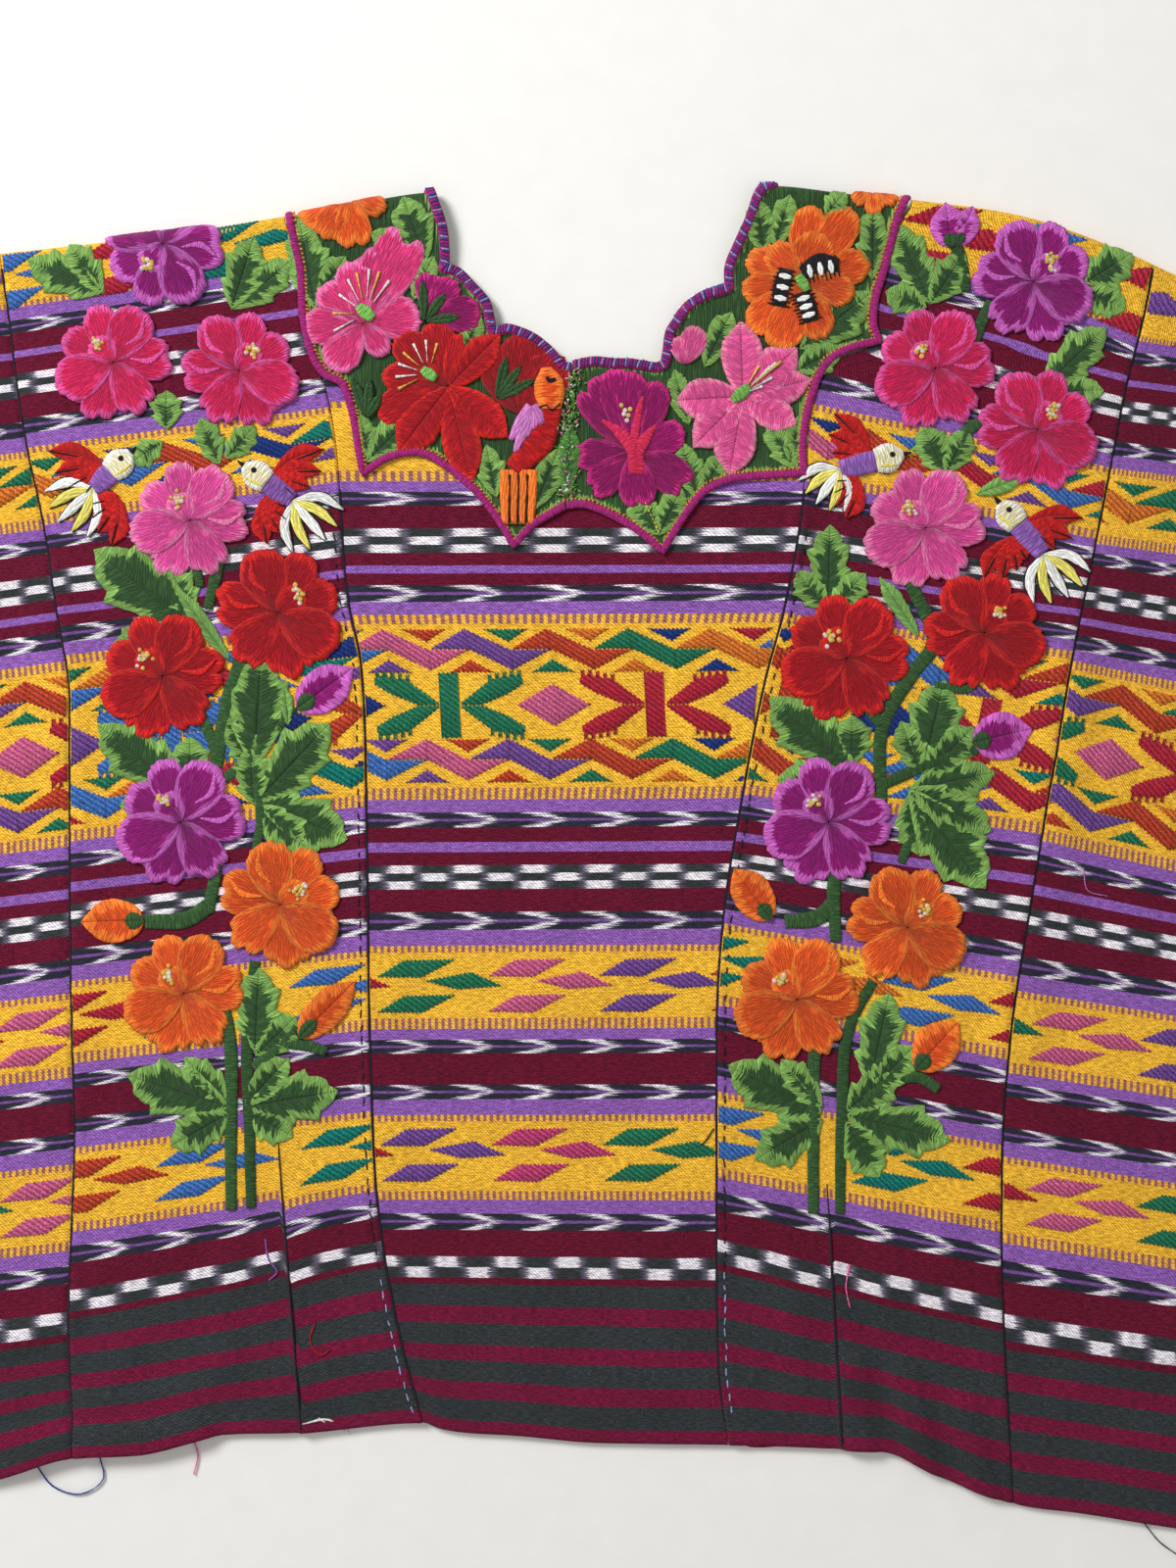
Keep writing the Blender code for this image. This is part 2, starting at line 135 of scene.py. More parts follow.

# %% [markdown]
# ## How the cloth lies
# Laid cloth is never quite flat. Each crease here is a line with a width and a
# height, listed in order: long swells first, then tucks, then the short puckers
# that seams and heavy embroidery pull into the cloth. A crease that is placed
# can be compared with the real one, which noise alone cannot.

# %% Creases: x0, y0, x1, y1, half width, rise
FOLDS = [
    (-330, -298, -200, -285, 13, 4.0), (137, -292, 131, -250, 8, 2.8), (167, -300, 158, -252, 8, 3.0),
    (196, -312, 188, -270, 8, 2.4), (-266, 139, -256, -110, 15, 1.8), (246, 130, 212, -90, 15, 2.2),
    (98, 178, 52, -8, 18, 1.2), (-108, 150, -100, -155, 12, 1.0), (-336, 190, -326, -160, 22, 2.2),
    (326, 190, 334, -210, 22, 2.5)
]
SMALL_CREASES = [
    (-262, -60, -228, -75, 7, 0.7), (-262, -205, -205, -190, 8, 0.8), (-250, -268, -190, -262, 7, 1.1),
    (-300, -240, -262, -225, 9, 1.0), (-95, 60, -60, 75, 9, 0.5), (-104, -60, -70, -52, 8, 0.5),
    (-98, -200, -60, -196, 8, 0.6), (60, 70, 30, 78, 9, 0.5), (62, -30, 25, -24, 9, 0.5),
    (62, -150, 20, -146, 9, 0.6), (-60, 120, -40, -20, 16, 0.5), (5, 130, 15, -40, 18, 0.5),
    (-20, -60, -26, -230, 16, 0.5), (40, -110, 34, -260, 14, 0.6), (100, -185, 104, -262, 8, 0.9),
    (145, -170, 150, -228, 9, 0.9), (204, -60, 178, -70, 8, 0.7), (208, -160, 178, -176, 8, 0.8),
    (222, 60, 262, 40, 10, 1.0), (216, -110, 262, -128, 10, 0.9), (232, -230, 280, -248, 10, 1.0),
    (252, 150, 300, 120, 12, 1.0), (-284, 200, -320, 190, 10, 0.8), (-270, 60, -310, 52, 11, 0.9),
    (-262, -90, -300, -100, 10, 0.8), (-176, -150, -182, -262, 9, 0.8), (-230, -120, -236, -250, 12, 0.7),
    (-128, 215, -112, 165, 6, 0.6), (112, 200, 100, 150, 6, 0.7), (-60, 188, -52, 150, 8, 0.6),
    (20, 160, 24, 125, 8, 0.5), (70, 185, 60, 140, 9, 0.6)
]
TUCKS = [(-155, -128, -143, -280), (119, -158, 126, -288)]
TUCK_RISE = 2.0
RIPPLE_WAVES = [(31, 0.21, 0.35), (23, 1.3, 0.3), (47, 2.2, 0.5), (39, 2.9, 0.35),
                (64, 0.8, 0.6), (17, 1.7, 0.16)]
print("creases:", len(FOLDS) + len(SMALL_CREASES), "tucks:", len(TUCKS))

# %% Heights of the creases and ripples
def ease(t):
    t = np.clip(t, 0.0, 1.0)
    return t * t * (3 - 2 * t)


def line_place(x, y, line):
    """How far along a line from 0 to 1, and how far off it, to its left."""
    x0, y0, x1, y1 = line[:4]
    run_x, run_y = x1 - x0, y1 - y0
    length = math.hypot(run_x, run_y)
    along = np.clip(((x - x0) * run_x + (y - y0) * run_y) / length ** 2, 0, 1)
    away = np.hypot(x - x0 - along * run_x, y - y0 - along * run_y)
    side = np.sign(run_x * (y - y0) - run_y * (x - x0))
    return along, away, side


def crease_height(x, y, creases):
    height = np.zeros(np.broadcast(x, y).shape)
    for crease in creases:
        _, away, _ = line_place(x, y, crease)
        height = np.maximum(height, crease[5] * ease(1.4 - away / crease[4]))
    return height


def ripple(x, y):
    """The faint unevenness of soft cloth, from a few long waves."""
    height = 0.0
    for wavelength, heading, rise in RIPPLE_WAVES:
        across = x * math.cos(heading) + y * math.sin(heading)
        drift = 6 * np.sin(y / 53 + wavelength)
        height = height + rise * np.sin((across + drift) * 2 * math.pi / wavelength)
    return 0.16 * height


print("ripple at the middle:", np.round(ripple(0.0, 0.0), 2), "mm")

# %% Seams, tucks and the tops of the layers
SEAM_DEPTH = 0.9


def seam_dip(x, y, seam):
    """A seam draws the cloth down in a narrow groove, with short puckers."""
    off = x - seam(y)
    pucker = 0.3 * np.sin(y * 2 * math.pi / 9.5 + 3 * np.sin(y / 31)) * np.exp(-(off / 7) ** 2)
    return pucker - SEAM_DEPTH * np.exp(-(off / 1.7) ** 2)


def near_fold(x, y, run):
    """1 where the front turns over the shoulder, fading to 0 below it."""
    return ease(1 - (shoulder(x) - y - FOLD_RADIUS) / run)


def lie(x, y, wall):
    """Top of a front layer with a wall, over the back layer."""
    flat = BACK_WALL + LAYER_GAP + wall
    fine = crease_height(x, y, SMALL_CREASES) * 1.2 + ripple(x, y) + 0.1
    bare = flat + crease_height(x, y, FOLDS) + np.maximum(fine, -0.2)
    return bare + (FOLD_HEIGHT - bare) * near_fold(x, y, FOLD_RUN)


def tuck_height(x, y):
    height = 0.0
    for tuck in TUCKS:
        along, away, side = line_place(x, y, tuck)
        step = np.where(side > 0, np.exp(-away / 7), np.exp(-away / 1.2))
        valley = np.exp(-((away - 2.6) / 2.8) ** 2) * (side <= 0)
        height = height + (TUCK_RISE * step - 0.7 * valley) * ease(along * 6)
    return height


def settled(x, y, top):
    """Bring a surface to the height of the fold where it starts to turn."""
    return top + (FOLD_HEIGHT - top) * near_fold(x, y, 8)


def panel_top(x, y):
    """Top of the plain panels."""
    dip = np.where(x < 0, seam_dip(x, y, left_side_seam), seam_dip(x, y, right_side_seam))
    return settled(x, y, lie(x, y, PANEL_WALL) + dip)


def strip_top(x, y):
    """Top of the flower strips, with the turned edge that lies on the centre."""
    inner = np.where(x < 0, left_strip_edge(y) - x, x - right_strip_edge(y))
    turned = 0.5 * np.exp(-(inner / 9) ** 4) - 1.1 * np.exp(-(np.maximum(inner, 0) / 0.9) ** 2)
    stitch_line = -0.35 * np.exp(-((inner - 4) / 1.0) ** 2)
    dip = np.where(x < 0, seam_dip(x, y, left_side_seam), seam_dip(x, y, right_side_seam))
    return settled(x, y, lie(x, y, STRIP_WALL) + dip + turned + stitch_line + tuck_height(x, y))


def yoke_top(x, y):
    return settled(x, y, lie(x, y, YOKE_WALL))


print("the cloth's top at the middle:", np.round(panel_top(0.0, 0.0), 2), "mm")

# %% [markdown]
# ## Over the shoulder
# The flower strips, the side panels and the yoke run over the shoulder without
# a seam. A point is therefore placed by how far along the cloth it lies: first
# flat on the front, then round the fold, then flat again on the back. The same
# function places the cloth and the embroidery that is stitched on it.

# %% Place a point of cloth on the front or round the fold
def drape(x, along, top, raised=0.0):
    """The place of a point of front cloth, raised off its surface, in millimetres."""
    x, along, raised = np.broadcast_arrays(*[np.asarray(v, float) for v in (x, along, raised)])
    turn_at = shoulder(x) - FOLD_RADIUS
    y = np.minimum(along, turn_at)
    angle = np.clip((along - turn_at) / FOLD_RADIUS, 0, math.pi)
    reach = FOLD_RADIUS + raised
    z = np.where(angle > 0, FOLD_RADIUS + reach * np.cos(angle), top(x, y) + raised)
    return np.stack([x, y + reach * np.sin(angle), z], axis=-1)


print("fold at the neck:", np.round(drape(0.0, shoulder(0.0), panel_top), 1), "mm")

# %% [markdown]
# ## The bands of the cloth
# The cloth is woven in bands across its width. The chart below lists them from
# the hem up, with each band's height. Joining two widths never lines the bands
# up exactly, so each panel says how high some levels of the chart lie at its
# left and right edges. That gives the small jogs at every seam.

# %% The chart
CHART = """hem_maroon 6.9, charcoal 11.3, hem_maroon 9.3, charcoal 10.8, hem_maroon 8.3,
charcoal 11.3, hem_maroon 9.3, charcoal 11.3, maroon 3.4, checker_two 10.8, maroon 13.2, ikat 8.3,
lilac 6.9, teeth_up 5.9, arrows_low 32.3, teeth_down 4.4, lilac 7.8, ikat 7.3, maroon 15.7, ikat 6.9,
lilac 5.4, teeth_up 7.3, arrows_high 29.9, teeth_down 4.4, lilac 7.8, ikat 8.8, maroon 11.3,
checker_three 11.8, maroon 6.4, lilac 4.9, maroon 7.3, ikat 7.3, lilac 6.4, teeth_up 7.8,
combs 77.9, teeth_down 6.4, lilac 6.4, ikat 8.3, maroon 5.9, lilac 3.9, maroon 6.4,
checker_three 12.2, maroon 11.3, ikat 6.9, lilac 5.4, teeth_up 6.9, diamonds 28.4,
teeth_down 4.4, lilac 7.3, ikat 7.8, maroon 12.2, checker_three 11.3, maroon 8.3, lilac 3.4,
maroon 8.8, ikat 6.4, lilac 5.9, teeth_up 3.4, arrows_top 26.0"""
CHART_LOW = -287.1
FIGURED = ("arrows_low", "arrows_high", "arrows_top", "combs", "diamonds")

bands = []
level = CHART_LOW
for entry in CHART.replace("\n", " ").split(","):
    kind, height = entry.split()
    bands.append((kind, level, level + float(height)))
    level += float(height)
CHART_TOP = level
print("bands:", len(bands), "from", CHART_LOW, "to", round(CHART_TOP, 1))

# %% How high each panel holds the chart at its two edges
KNOWN_LEVELS = [-287, -209, -160, -43, 41, 119, 199, 232, 307, 333]
BANDS_AT = {
    "side_panel_left": ([-319, -250, -196, -80, 6, 83, 164, 197, 272, 297],
                        [-294, -237, -185, -67, 18, 96, 175, 207, 280, 305]),
    "flower_strip_left": ([-294, -226, -176, -61, 20, 99, 177, 209, 280, 305],
                          [-278, -199, -156, -46, 38, 116, 199, 229, 302, 322]),
    "center_front": ([-280, -208, -160, -44, 41, 119, 199, 232, 307, 333],
                     [-288, -210, -160, -43, 42, 120, 199, 232, 307, 333]),
    "flower_strip_right": ([-288, -201, -148, -32, 43, 120, 199, 231, 305, 333],
                           [-315, -232, -175, -59, 24, 102, 169, 199, 267, 302]),
    "side_panel_right": ([-318, -241, -180, -66, 21, 97, 167, 199, 264, 300],
                         [-339, -263, -204, -89, -10, 73, 154, 186, 253, 269]),
}
print("levels known:", len(KNOWN_LEVELS), "on panels:", len(BANDS_AT))

# %% [markdown]
# ## A panel as a grid
# Each panel is a grid whose rows follow the bands, so that a face belongs to one
# band and can take that band's material. The grid also keeps two sets of UVs:
# one in centimetres, for yarn and twill, and one that runs from 0 to 1 across
# each band, for patterns that repeat along it. Brocade figures use the same map.

# %% Edges and widths of the panels
def beside(seam, side):
    """A panel's edge, half a seam's gap to the left (-1) or right (1) of the seam."""
    return lambda y: seam(y) + side * SEAM_GAP / 2


def open_side(x):
    return lambda y: x + 0 * y


PANEL_EDGES = {  # left edge, right edge, top surface
    "side_panel_left": (open_side(-HALF_WIDTH), beside(left_side_seam, -1), panel_top),
    "flower_strip_left": (beside(left_side_seam, 1), beside(left_strip_edge, -1), strip_top),
    "center_front": (beside(left_strip_edge, 1), beside(right_strip_edge, -1), panel_top),
    "flower_strip_right": (beside(right_strip_edge, 1), beside(right_side_seam, -1), strip_top),
    "side_panel_right": (beside(right_side_seam, 1), open_side(HALF_WIDTH), panel_top),
}
PANEL_WIDTHS = {"side_panel_left": 104.0, "flower_strip_left": 152.0, "center_front": 172.0,
                "flower_strip_right": 148.0, "side_panel_right": 152.0}
print("widths together:", sum(PANEL_WIDTHS.values()), "mm")

# %% From a place on the chart to a place on the cloth
FOLD_AT = FOLD_RADIUS * (math.pi / 2 - 1)
SETTLED_OVER, TUCK_FADES_OVER = 60, 25
TUCK_STEPS = {  # tuck, step on its far side, step on its near side
    "flower_strip_left": (TUCKS[0], 3.6, -3.4),
    "flower_strip_right": (TUCKS[1], -2.2, 2.0),
}


def tuck_shift(panel, x, y):
    """How far a tuck steps the bands of its strip up or down on each side of it."""
    if panel not in TUCK_STEPS:
        return 0.0
    tuck, far_step, near_step = TUCK_STEPS[panel]
    along, away, side = line_place(x, y, tuck)
    step = np.where(side > 0, near_step * np.exp(-away / 16), far_step * np.exp(-away / 34))
    return ease(along * 3) * step


def cloth_place(panel, across, level):
    """Turn a share of the panel's width and a chart level into x and a length along."""
    left, right, _ = PANEL_EDGES[panel]
    heights_left, heights_right = BANDS_AT[panel]
    across, level = np.broadcast_arrays(np.asarray(across, float), np.asarray(level, float))

    def height_at(levels):
        low = np.interp(levels, KNOWN_LEVELS, heights_left)
        return low + (np.interp(levels, KNOWN_LEVELS, heights_right) - low) * across

    def x_at(y):
        return left(y) + (right(y) - left(y)) * across

    hem_row = height_at(np.full_like(level, CHART_LOW))
    fold_row = height_at(np.full_like(level, CHART_TOP))
    to_hem = hem(x_at(hem_row)) - hem_row
    to_fold = shoulder(x_at(fold_row)) + FOLD_AT - fold_row
    y = height_at(level)
    y = y + to_hem * ease(1 - (level - CHART_LOW) / SETTLED_OVER)
    y = y + to_fold * ease(1 - (CHART_TOP - level) / SETTLED_OVER)
    y = y + tuck_shift(panel, x_at(y), y) * ease((level - CHART_LOW) / TUCK_FADES_OVER)
    return x_at(np.minimum(y, shoulder(0.0))), y


print("the centre's hem starts at", np.round(cloth_place("center_front", 0.0, CHART_LOW), 1), "mm")

# %% [markdown]
# ## A closed wall of cloth
# Cloth could be one sheet of faces, but then its edge has no thickness. Each
# panel is built as two skins, the second a wall further in, joined round the
# edge. The grid is finest at the seams, where the cloth dips and puckers.

# %% Meshes, and a wall closed round its edge
def grid_quads(rows, columns):
    """Corner numbers of the faces of a grid of points."""
    index = np.arange(rows * columns).reshape(rows, columns)
    corners = [index[:-1, :-1], index[:-1, 1:], index[1:, 1:], index[1:, :-1]]
    return np.stack(corners, axis=-1).reshape(-1, 4)


def scene_object(name, data):
    obj = bpy.data.objects.new(name, data)
    bpy.context.scene.collection.objects.link(obj)
    return obj


def mesh_object(name, points, faces, smooth=True):
    mesh = bpy.data.meshes.new(name)
    mesh.from_pydata(np.asarray(points).tolist(), [], np.asarray(faces).tolist())
    if smooth:
        mesh.shade_smooth()
    return scene_object(name, mesh)


def add_uv(obj, name, corners):
    layer = obj.data.uv_layers.new(name=name)
    layer.data.foreach_set("uv", np.asarray(corners, np.float32).ravel())


def closed_wall(name, outer, inner):
    """Join two grids of points, one skin above the other, into one closed mesh."""
    rows, columns = outer.shape[:2]
    layer = rows * columns
    top = grid_quads(rows, columns)
    index = np.arange(layer).reshape(rows, columns)
    rim = np.concatenate([index[0, :], index[1:, -1], index[-1, -2::-1], index[-2:0:-1, 0]])
    after = np.roll(rim, -1)
    edge = np.stack([after, rim, rim + layer, after + layer], axis=-1)
    faces = np.concatenate([top, top[:, ::-1] + layer, edge])
    points = np.concatenate([outer.reshape(-1, 3), inner.reshape(-1, 3)]) * MM
    print(name, "faces:", len(faces))
    return mesh_object(name, points, faces), faces


print("a 3 by 4 grid of points has", len(grid_quads(3, 4)), "faces")

# %% Many small grids in one mesh
class Gathered:
    """Small grids of points in one mesh, with a material for each colour used."""

    def __init__(self, name, map_names, finishes):
        self.name, self.finishes = name, finishes
        self.points, self.faces, self.slots, self.used, self.count = [], [], [], [], 0
        self.maps = {map_name: [] for map_name in map_names}

    def add(self, points, quads, color, *maps):
        self.points.append(points)
        self.faces.append(quads + self.count)
        self.count += len(points)
        if color not in self.used:
            self.used.append(color)
        self.slots += [self.used.index(color)] * len(quads)
        for kept, new in zip(self.maps.values(), maps):
            kept.append(new)

    def build(self):
        faces = np.concatenate(self.faces)
        obj = mesh_object(self.name, np.concatenate(self.points) * MM, faces)
        for color in self.used:
            obj.data.materials.append(self.finishes[color])
        obj.data.polygons.foreach_set("material_index", self.slots)
        for map_name, values in self.maps.items():
            add_uv(obj, map_name, np.concatenate(values)[faces.ravel()])
        print(self.name, "faces:", len(faces))
        return obj

# %% Rows and columns of the cloth
CELL, FOLD_CELL, FOLD_ZONE = 3.4, 1.3, 27
EDGE_STEPS = [0.0, 0.7, 1.4, 2.2, 3.2, 4.4, 6.0, 8.0]
BACK_CELL = 9.0


def column_shares(width):
    """Shares of a width, close together near both edges."""
    middle = np.linspace(EDGE_STEPS[-1], width - EDGE_STEPS[-1], int(width / CELL))[1:-1]
    return np.array(EDGE_STEPS + list(middle) + [width - s for s in reversed(EDGE_STEPS)]) / width


def band_rows(cell, fold_cell, highest):
    """Chart level of each row, and the band that ends there."""
    rows = [(CHART_LOW, 0)]
    for index, (_, low, high) in enumerate(bands):
        if low >= highest:
            break
        high = min(high, highest)
        size = fold_cell if high >= CHART_TOP - FOLD_ZONE else cell
        count = max(1, math.ceil((high - low) / size))
        rows += [(level, index) for level in np.linspace(low, high, count + 1)[1:]]
    return rows


print("rows on the front:", len(band_rows(CELL, FOLD_CELL, CHART_TOP)))

# %% A banded sheet
def banded_sheet(name, rows, materials, width, shares):
    """Build a wall from rows of outer points, inner points, chart level and band."""
    outer, inner, levels, row_bands = zip(*rows)
    obj, faces = closed_wall(name, np.array(outer), np.array(inner))
    columns = len(shares)
    row = faces % (len(rows) * columns) // columns
    band = np.array(row_bands[1:])[np.minimum(row.min(axis=1), len(rows) - 2)]
    names = list(dict.fromkeys(bands[k][0] for k in row_bands[1:]))
    for kind in names:
        obj.data.materials.append(materials[kind])
    obj.data.polygons.foreach_set("material_index", [names.index(bands[b][0]) for b in band])
    low, high = np.array([entry[1:] for entry in bands]).T[:, band, None]
    level = np.array(levels)[row]
    across = shares[faces % columns] * width / 10
    add_uv(obj, "cloth", np.stack([across, level / 10], axis=-1))
    add_uv(obj, "band", np.stack([across, np.clip((level - low) / (high - low), 0, 1)], axis=-1))
    print(name, "bands:", len(set(row_bands)))
    return obj

# %% [markdown]
# ## Yarn and dye
# A photograph pasted on cloth would be quick, but it stretches at every fold.
# Here each finish is a recipe of nodes. A small helper keeps the recipes short:
# it adds a node, sets or links its inputs, and returns the output.

# %% A colour for the nodes
def paint(red, green, blue):
    """A colour on the 0 to 255 scale, as Blender's linear colour."""
    linear = [(c / 255 / 12.92) if c < 11 else ((c / 255 + 0.055) / 1.055) ** 2.4
              for c in (red, green, blue)]
    return (*linear, 1.0)


print("yellow as a linear colour:", np.round(paint(240, 180, 54), 3))

# %% A helper for node recipes
class Finish:
    """A cloth material whose recipe is written as a few nested calls."""

    def __init__(self, name, roughness=0.9, sheen=0.03):
        self.material = bpy.data.materials.new(name)
        self.material.use_nodes = True
        self.tree = self.material.node_tree
        self.surface = self.tree.nodes["Principled BSDF"]
        sockets = {"Roughness": roughness, "Specular IOR Level": 0.15, "Sheen Weight": sheen,
                   "Sheen Roughness": 0.5}
        for socket, value in sockets.items():
            self.surface.inputs[socket].default_value = value

    def node(self, kind, inputs, output=0, **settings):
        node = self.tree.nodes.new("ShaderNode" + kind)
        for key, value in settings.items():
            setattr(node, key, value)
        for key, value in inputs.items():
            if isinstance(value, bpy.types.NodeSocket):
                self.tree.links.new(value, node.inputs[key])
            else:
                node.inputs[key].default_value = value
        return node.outputs[output]

    def calc(self, operation, *values):
        return self.node("Math", dict(enumerate(values)), operation=operation)

    def plus(self, first, second):
        return self.calc("ADD", first, second)

    def minus(self, first, second):
        return self.calc("SUBTRACT", first, second)

    def times(self, first, second):
        return self.calc("MULTIPLY", first, second)

    def scaled(self, value, by, then_plus):
        return self.calc("MULTIPLY_ADD", value, by, then_plus)

    def off_middle(self, turns):
        """How far a place is from the middle of its repeat, 0 to 0.5."""
        return self.calc("ABSOLUTE", self.minus(self.calc("FRACT", turns), 0.5))

    def below(self, value, low, high):
        """1 below low, 0 above high, smooth in between."""
        return self.calc("SUBTRACT", 1.0, self.between(value, low, high))

    def wave(self, turns):
        """A sine that repeats once for each whole turn."""
        return self.calc("SINE", self.times(turns, 2 * math.pi))

    def between(self, value, low, high):
        """0 below low, 1 above high, smooth in between."""
        return self.node("MapRange", {"Value": value, "From Min": low, "From Max": high},
                         interpolation_type="SMOOTHSTEP")

    def mix(self, share, first, second, blend="MIX"):
        return self.node("Mix", {0: share, 6: first, 7: second}, 2, data_type="RGBA", blend_type=blend)

    def uv(self, name):
        return self.node("UVMap", {}, uv_map=name)

    def split(self, vector):
        node = self.tree.nodes.new("ShaderNodeSeparateXYZ")
        self.tree.links.new(vector, node.inputs[0])
        return node.outputs[0], node.outputs[1]

    def noise(self, vector, scale, detail=2.0):
        return self.node("TexNoise", {"Vector": vector, "Scale": scale, "Detail": detail})

    def streaks(self, vector, x, y, scale, detail=2.0):
        """Noise drawn out along the yarn; x and y say how it is squeezed each way."""
        drawn = self.node("VectorMath", {0: vector, 1: (x, y, 1.0)}, operation="MULTIPLY")
        return self.noise(drawn, scale, detail)

    def shade(self, color, share, low, high):
        """Darken and lighten a colour by a value from 0 to 1."""
        gray = self.node("MapRange", {"Value": share, "To Min": low, "To Max": high})
        return self.mix(1.0, color, gray, "MULTIPLY")

    def wave_shade(self, color, wave, low, high):
        return self.shade(color, self.scaled(wave, 0.5, 0.5), low, high)

    def done(self, color, height, distance, strength=0.6):
        self.tree.links.new(color, self.surface.inputs["Base Color"])
        bump = self.node("Bump", {"Height": height, "Distance": distance, "Strength": strength})
        self.tree.links.new(bump, self.surface.inputs["Normal"])
        return self.material


print("ways to build a recipe:", len([way for way in vars(Finish) if not way.startswith("_")]))

# %% [markdown]
# ## The banded cloth
# The bands are woven sideways, so each yarn runs across the blouse. The plain
# bands show a fine slanted twill. The ikat yarns were tied and dyed before they
# were woven, so their white marks have soft, ragged ends. One recipe per kind of
# band, all with the same twill, keeps them looking like one cloth.

# %% Colours of the cloth and its brocade
EYE_COLORS = {
    "maroon": (98, 14, 42), "hem_maroon": (112, 18, 54), "lilac": (138, 90, 170),
    "yellow": (240, 180, 54), "charcoal": (50, 54, 56), "ikat_dark": (40, 42, 54),
    "white": (236, 230, 236), "smoke": (128, 118, 142), "tooth_shade": (158, 100, 104),
    "rust": (208, 72, 44), "green": (36, 128, 92), "pink": (226, 104, 150), "purple": (128, 82, 164),
    "orange": (240, 128, 46), "navy": (28, 58, 138), "blue": (72, 124, 204), "crimson": (196, 38, 62),
    "teal": (14, 134, 120), "deep_pink": (216, 72, 128),
}
COLORS = {name: paint(*rgb) for name, rgb in EYE_COLORS.items()}
print("colours:", len(COLORS))

# %% The twill that every band shares
TWILL_PER_CM = 5.6


def twill(finish, cloth):
    """Height and yarn noise of the slanted weave."""
    across, up = finish.split(cloth)
    wander = finish.streaks(cloth, 1.0, 1.6, 2.2)
    slant = finish.times(finish.plus(across, up), TWILL_PER_CM)
    ridge = finish.wave(finish.plus(slant, finish.times(wander, 0.8)))
    yarn = finish.streaks(cloth, 0.6, 3.0, 4.6)
    height = finish.plus(finish.times(ridge, 0.3), yarn)
    return height, finish.between(yarn, 0.3, 0.7), ridge


def woven(name, make_color):
    finish = Finish(name)
    cloth = finish.uv("cloth")
    height, yarn, ridge = twill(finish, cloth)
    color = make_color(finish, cloth)
    color = finish.shade(color, finish.noise(cloth, 0.35), 0.8, 1.2)
    color = finish.shade(color, yarn, 0.66, 1.34)
    # Painted shade in the twill's grooves and painted light on its ridges, along the same wave as the bump.
    color = finish.wave_shade(color, ridge, 0.72, 1.2)
    return finish.done(color, height, 0.0006, 0.9)


print("twill ridges along 10 cm:", TWILL_PER_CM * 10)

# %% One recipe for each kind of band
IKAT_REPEAT_CM, TOOTH_PITCH_CM = 3.16, 0.33


def plain(color, finish, cloth):
    worn = finish.between(finish.streaks(cloth, 2.0, 0.8, 7.0), 0.5, 0.76)
    return finish.mix(worn, color, [min(1, c * 1.6) for c in color])


def ragged(finish, cloth, reach):
    """Each yarn slides a little, so dyed marks end in feathers."""
    yarns = finish.streaks(cloth, 0.12, 4.2, 7.0, 1.0)
    return finish.times(finish.minus(yarns, 0.5), reach)


def ikat(finish, cloth):
    across, in_band = finish.split(finish.uv("band"))
    slid = finish.plus(finish.calc("DIVIDE", across, IKAT_REPEAT_CM), ragged(finish, cloth, 0.64))
    from_middle = finish.calc("ABSOLUTE", finish.scaled(in_band, 2.0, -1.0))
    target = finish.scaled(from_middle, -0.42, 0.86)
    away = finish.calc("ABSOLUTE", finish.minus(finish.calc("FRACT", slid), target))
    away = finish.minus(away, finish.scaled(from_middle, 0.11, 0.04))
    halo = finish.times(finish.below(away, 0.02, 0.1), 0.5)
    color = finish.mix(halo, COLORS["ikat_dark"], COLORS["smoke"])
    line = finish.times(finish.below(from_middle, 0.06, 0.26), 0.75)
    color = finish.mix(line, color, COLORS["lilac"])
    return finish.mix(finish.below(away, -0.03, 0.03), color, COLORS["white"])


def checker(rows, finish, cloth):
    across, in_band = finish.split(finish.uv("band"))
    row = finish.calc("FLOOR", finish.times(in_band, float(rows)))
    shifted = finish.scaled(row, 0.5, finish.calc("DIVIDE", across, IKAT_REPEAT_CM))
    away = finish.off_middle(finish.plus(shifted, ragged(finish, cloth, 0.32)))
    halo = finish.times(finish.below(away, 0.2, 0.33), 0.55)
    color = finish.mix(halo, COLORS["charcoal"], COLORS["smoke"])
    return finish.mix(finish.below(away, 0.15, 0.2), color, COLORS["white"])


def teeth(cord_above, finish, cloth):
    """A row of yellow stitches over the lilac, with a yellow cord along the figured band."""
    across, in_band = finish.split(finish.uv("band"))
    toward_cord = in_band if cord_above else finish.minus(1.0, in_band)
    tooth = finish.below(finish.off_middle(finish.calc("DIVIDE", across, TOOTH_PITCH_CM)), 0.2, 0.3)
    cord = finish.between(toward_cord, 0.7, 0.78)
    low = finish.mix(tooth, COLORS["tooth_shade"], COLORS["yellow"])
    return finish.mix(cord, low, COLORS["yellow"])


PLAIN_BANDS = ("maroon", "hem_maroon", "charcoal", "lilac")
recipes = {name: partial(plain, COLORS[name]) for name in PLAIN_BANDS}
recipes.update({name: partial(plain, COLORS["yellow"]) for name in FIGURED})
recipes.update({"ikat": ikat, "checker_two": partial(checker, 2), "checker_three": partial(checker, 3),
                "teeth_up": partial(teeth, True), "teeth_down": partial(teeth, False)})
cloth_finishes = {name: woven("cloth_" + name, recipe) for name, recipe in recipes.items()}
print("cloth finishes:", len(cloth_finishes))

# %% [markdown]
# ## The panels
# A folded panel starts at the front hem, runs over the shoulder and ends at the
# back hem, so it is one wall with no seam at the shoulder, as the real one is.
# The centre is two pieces, front and back, because the neck is cut there.

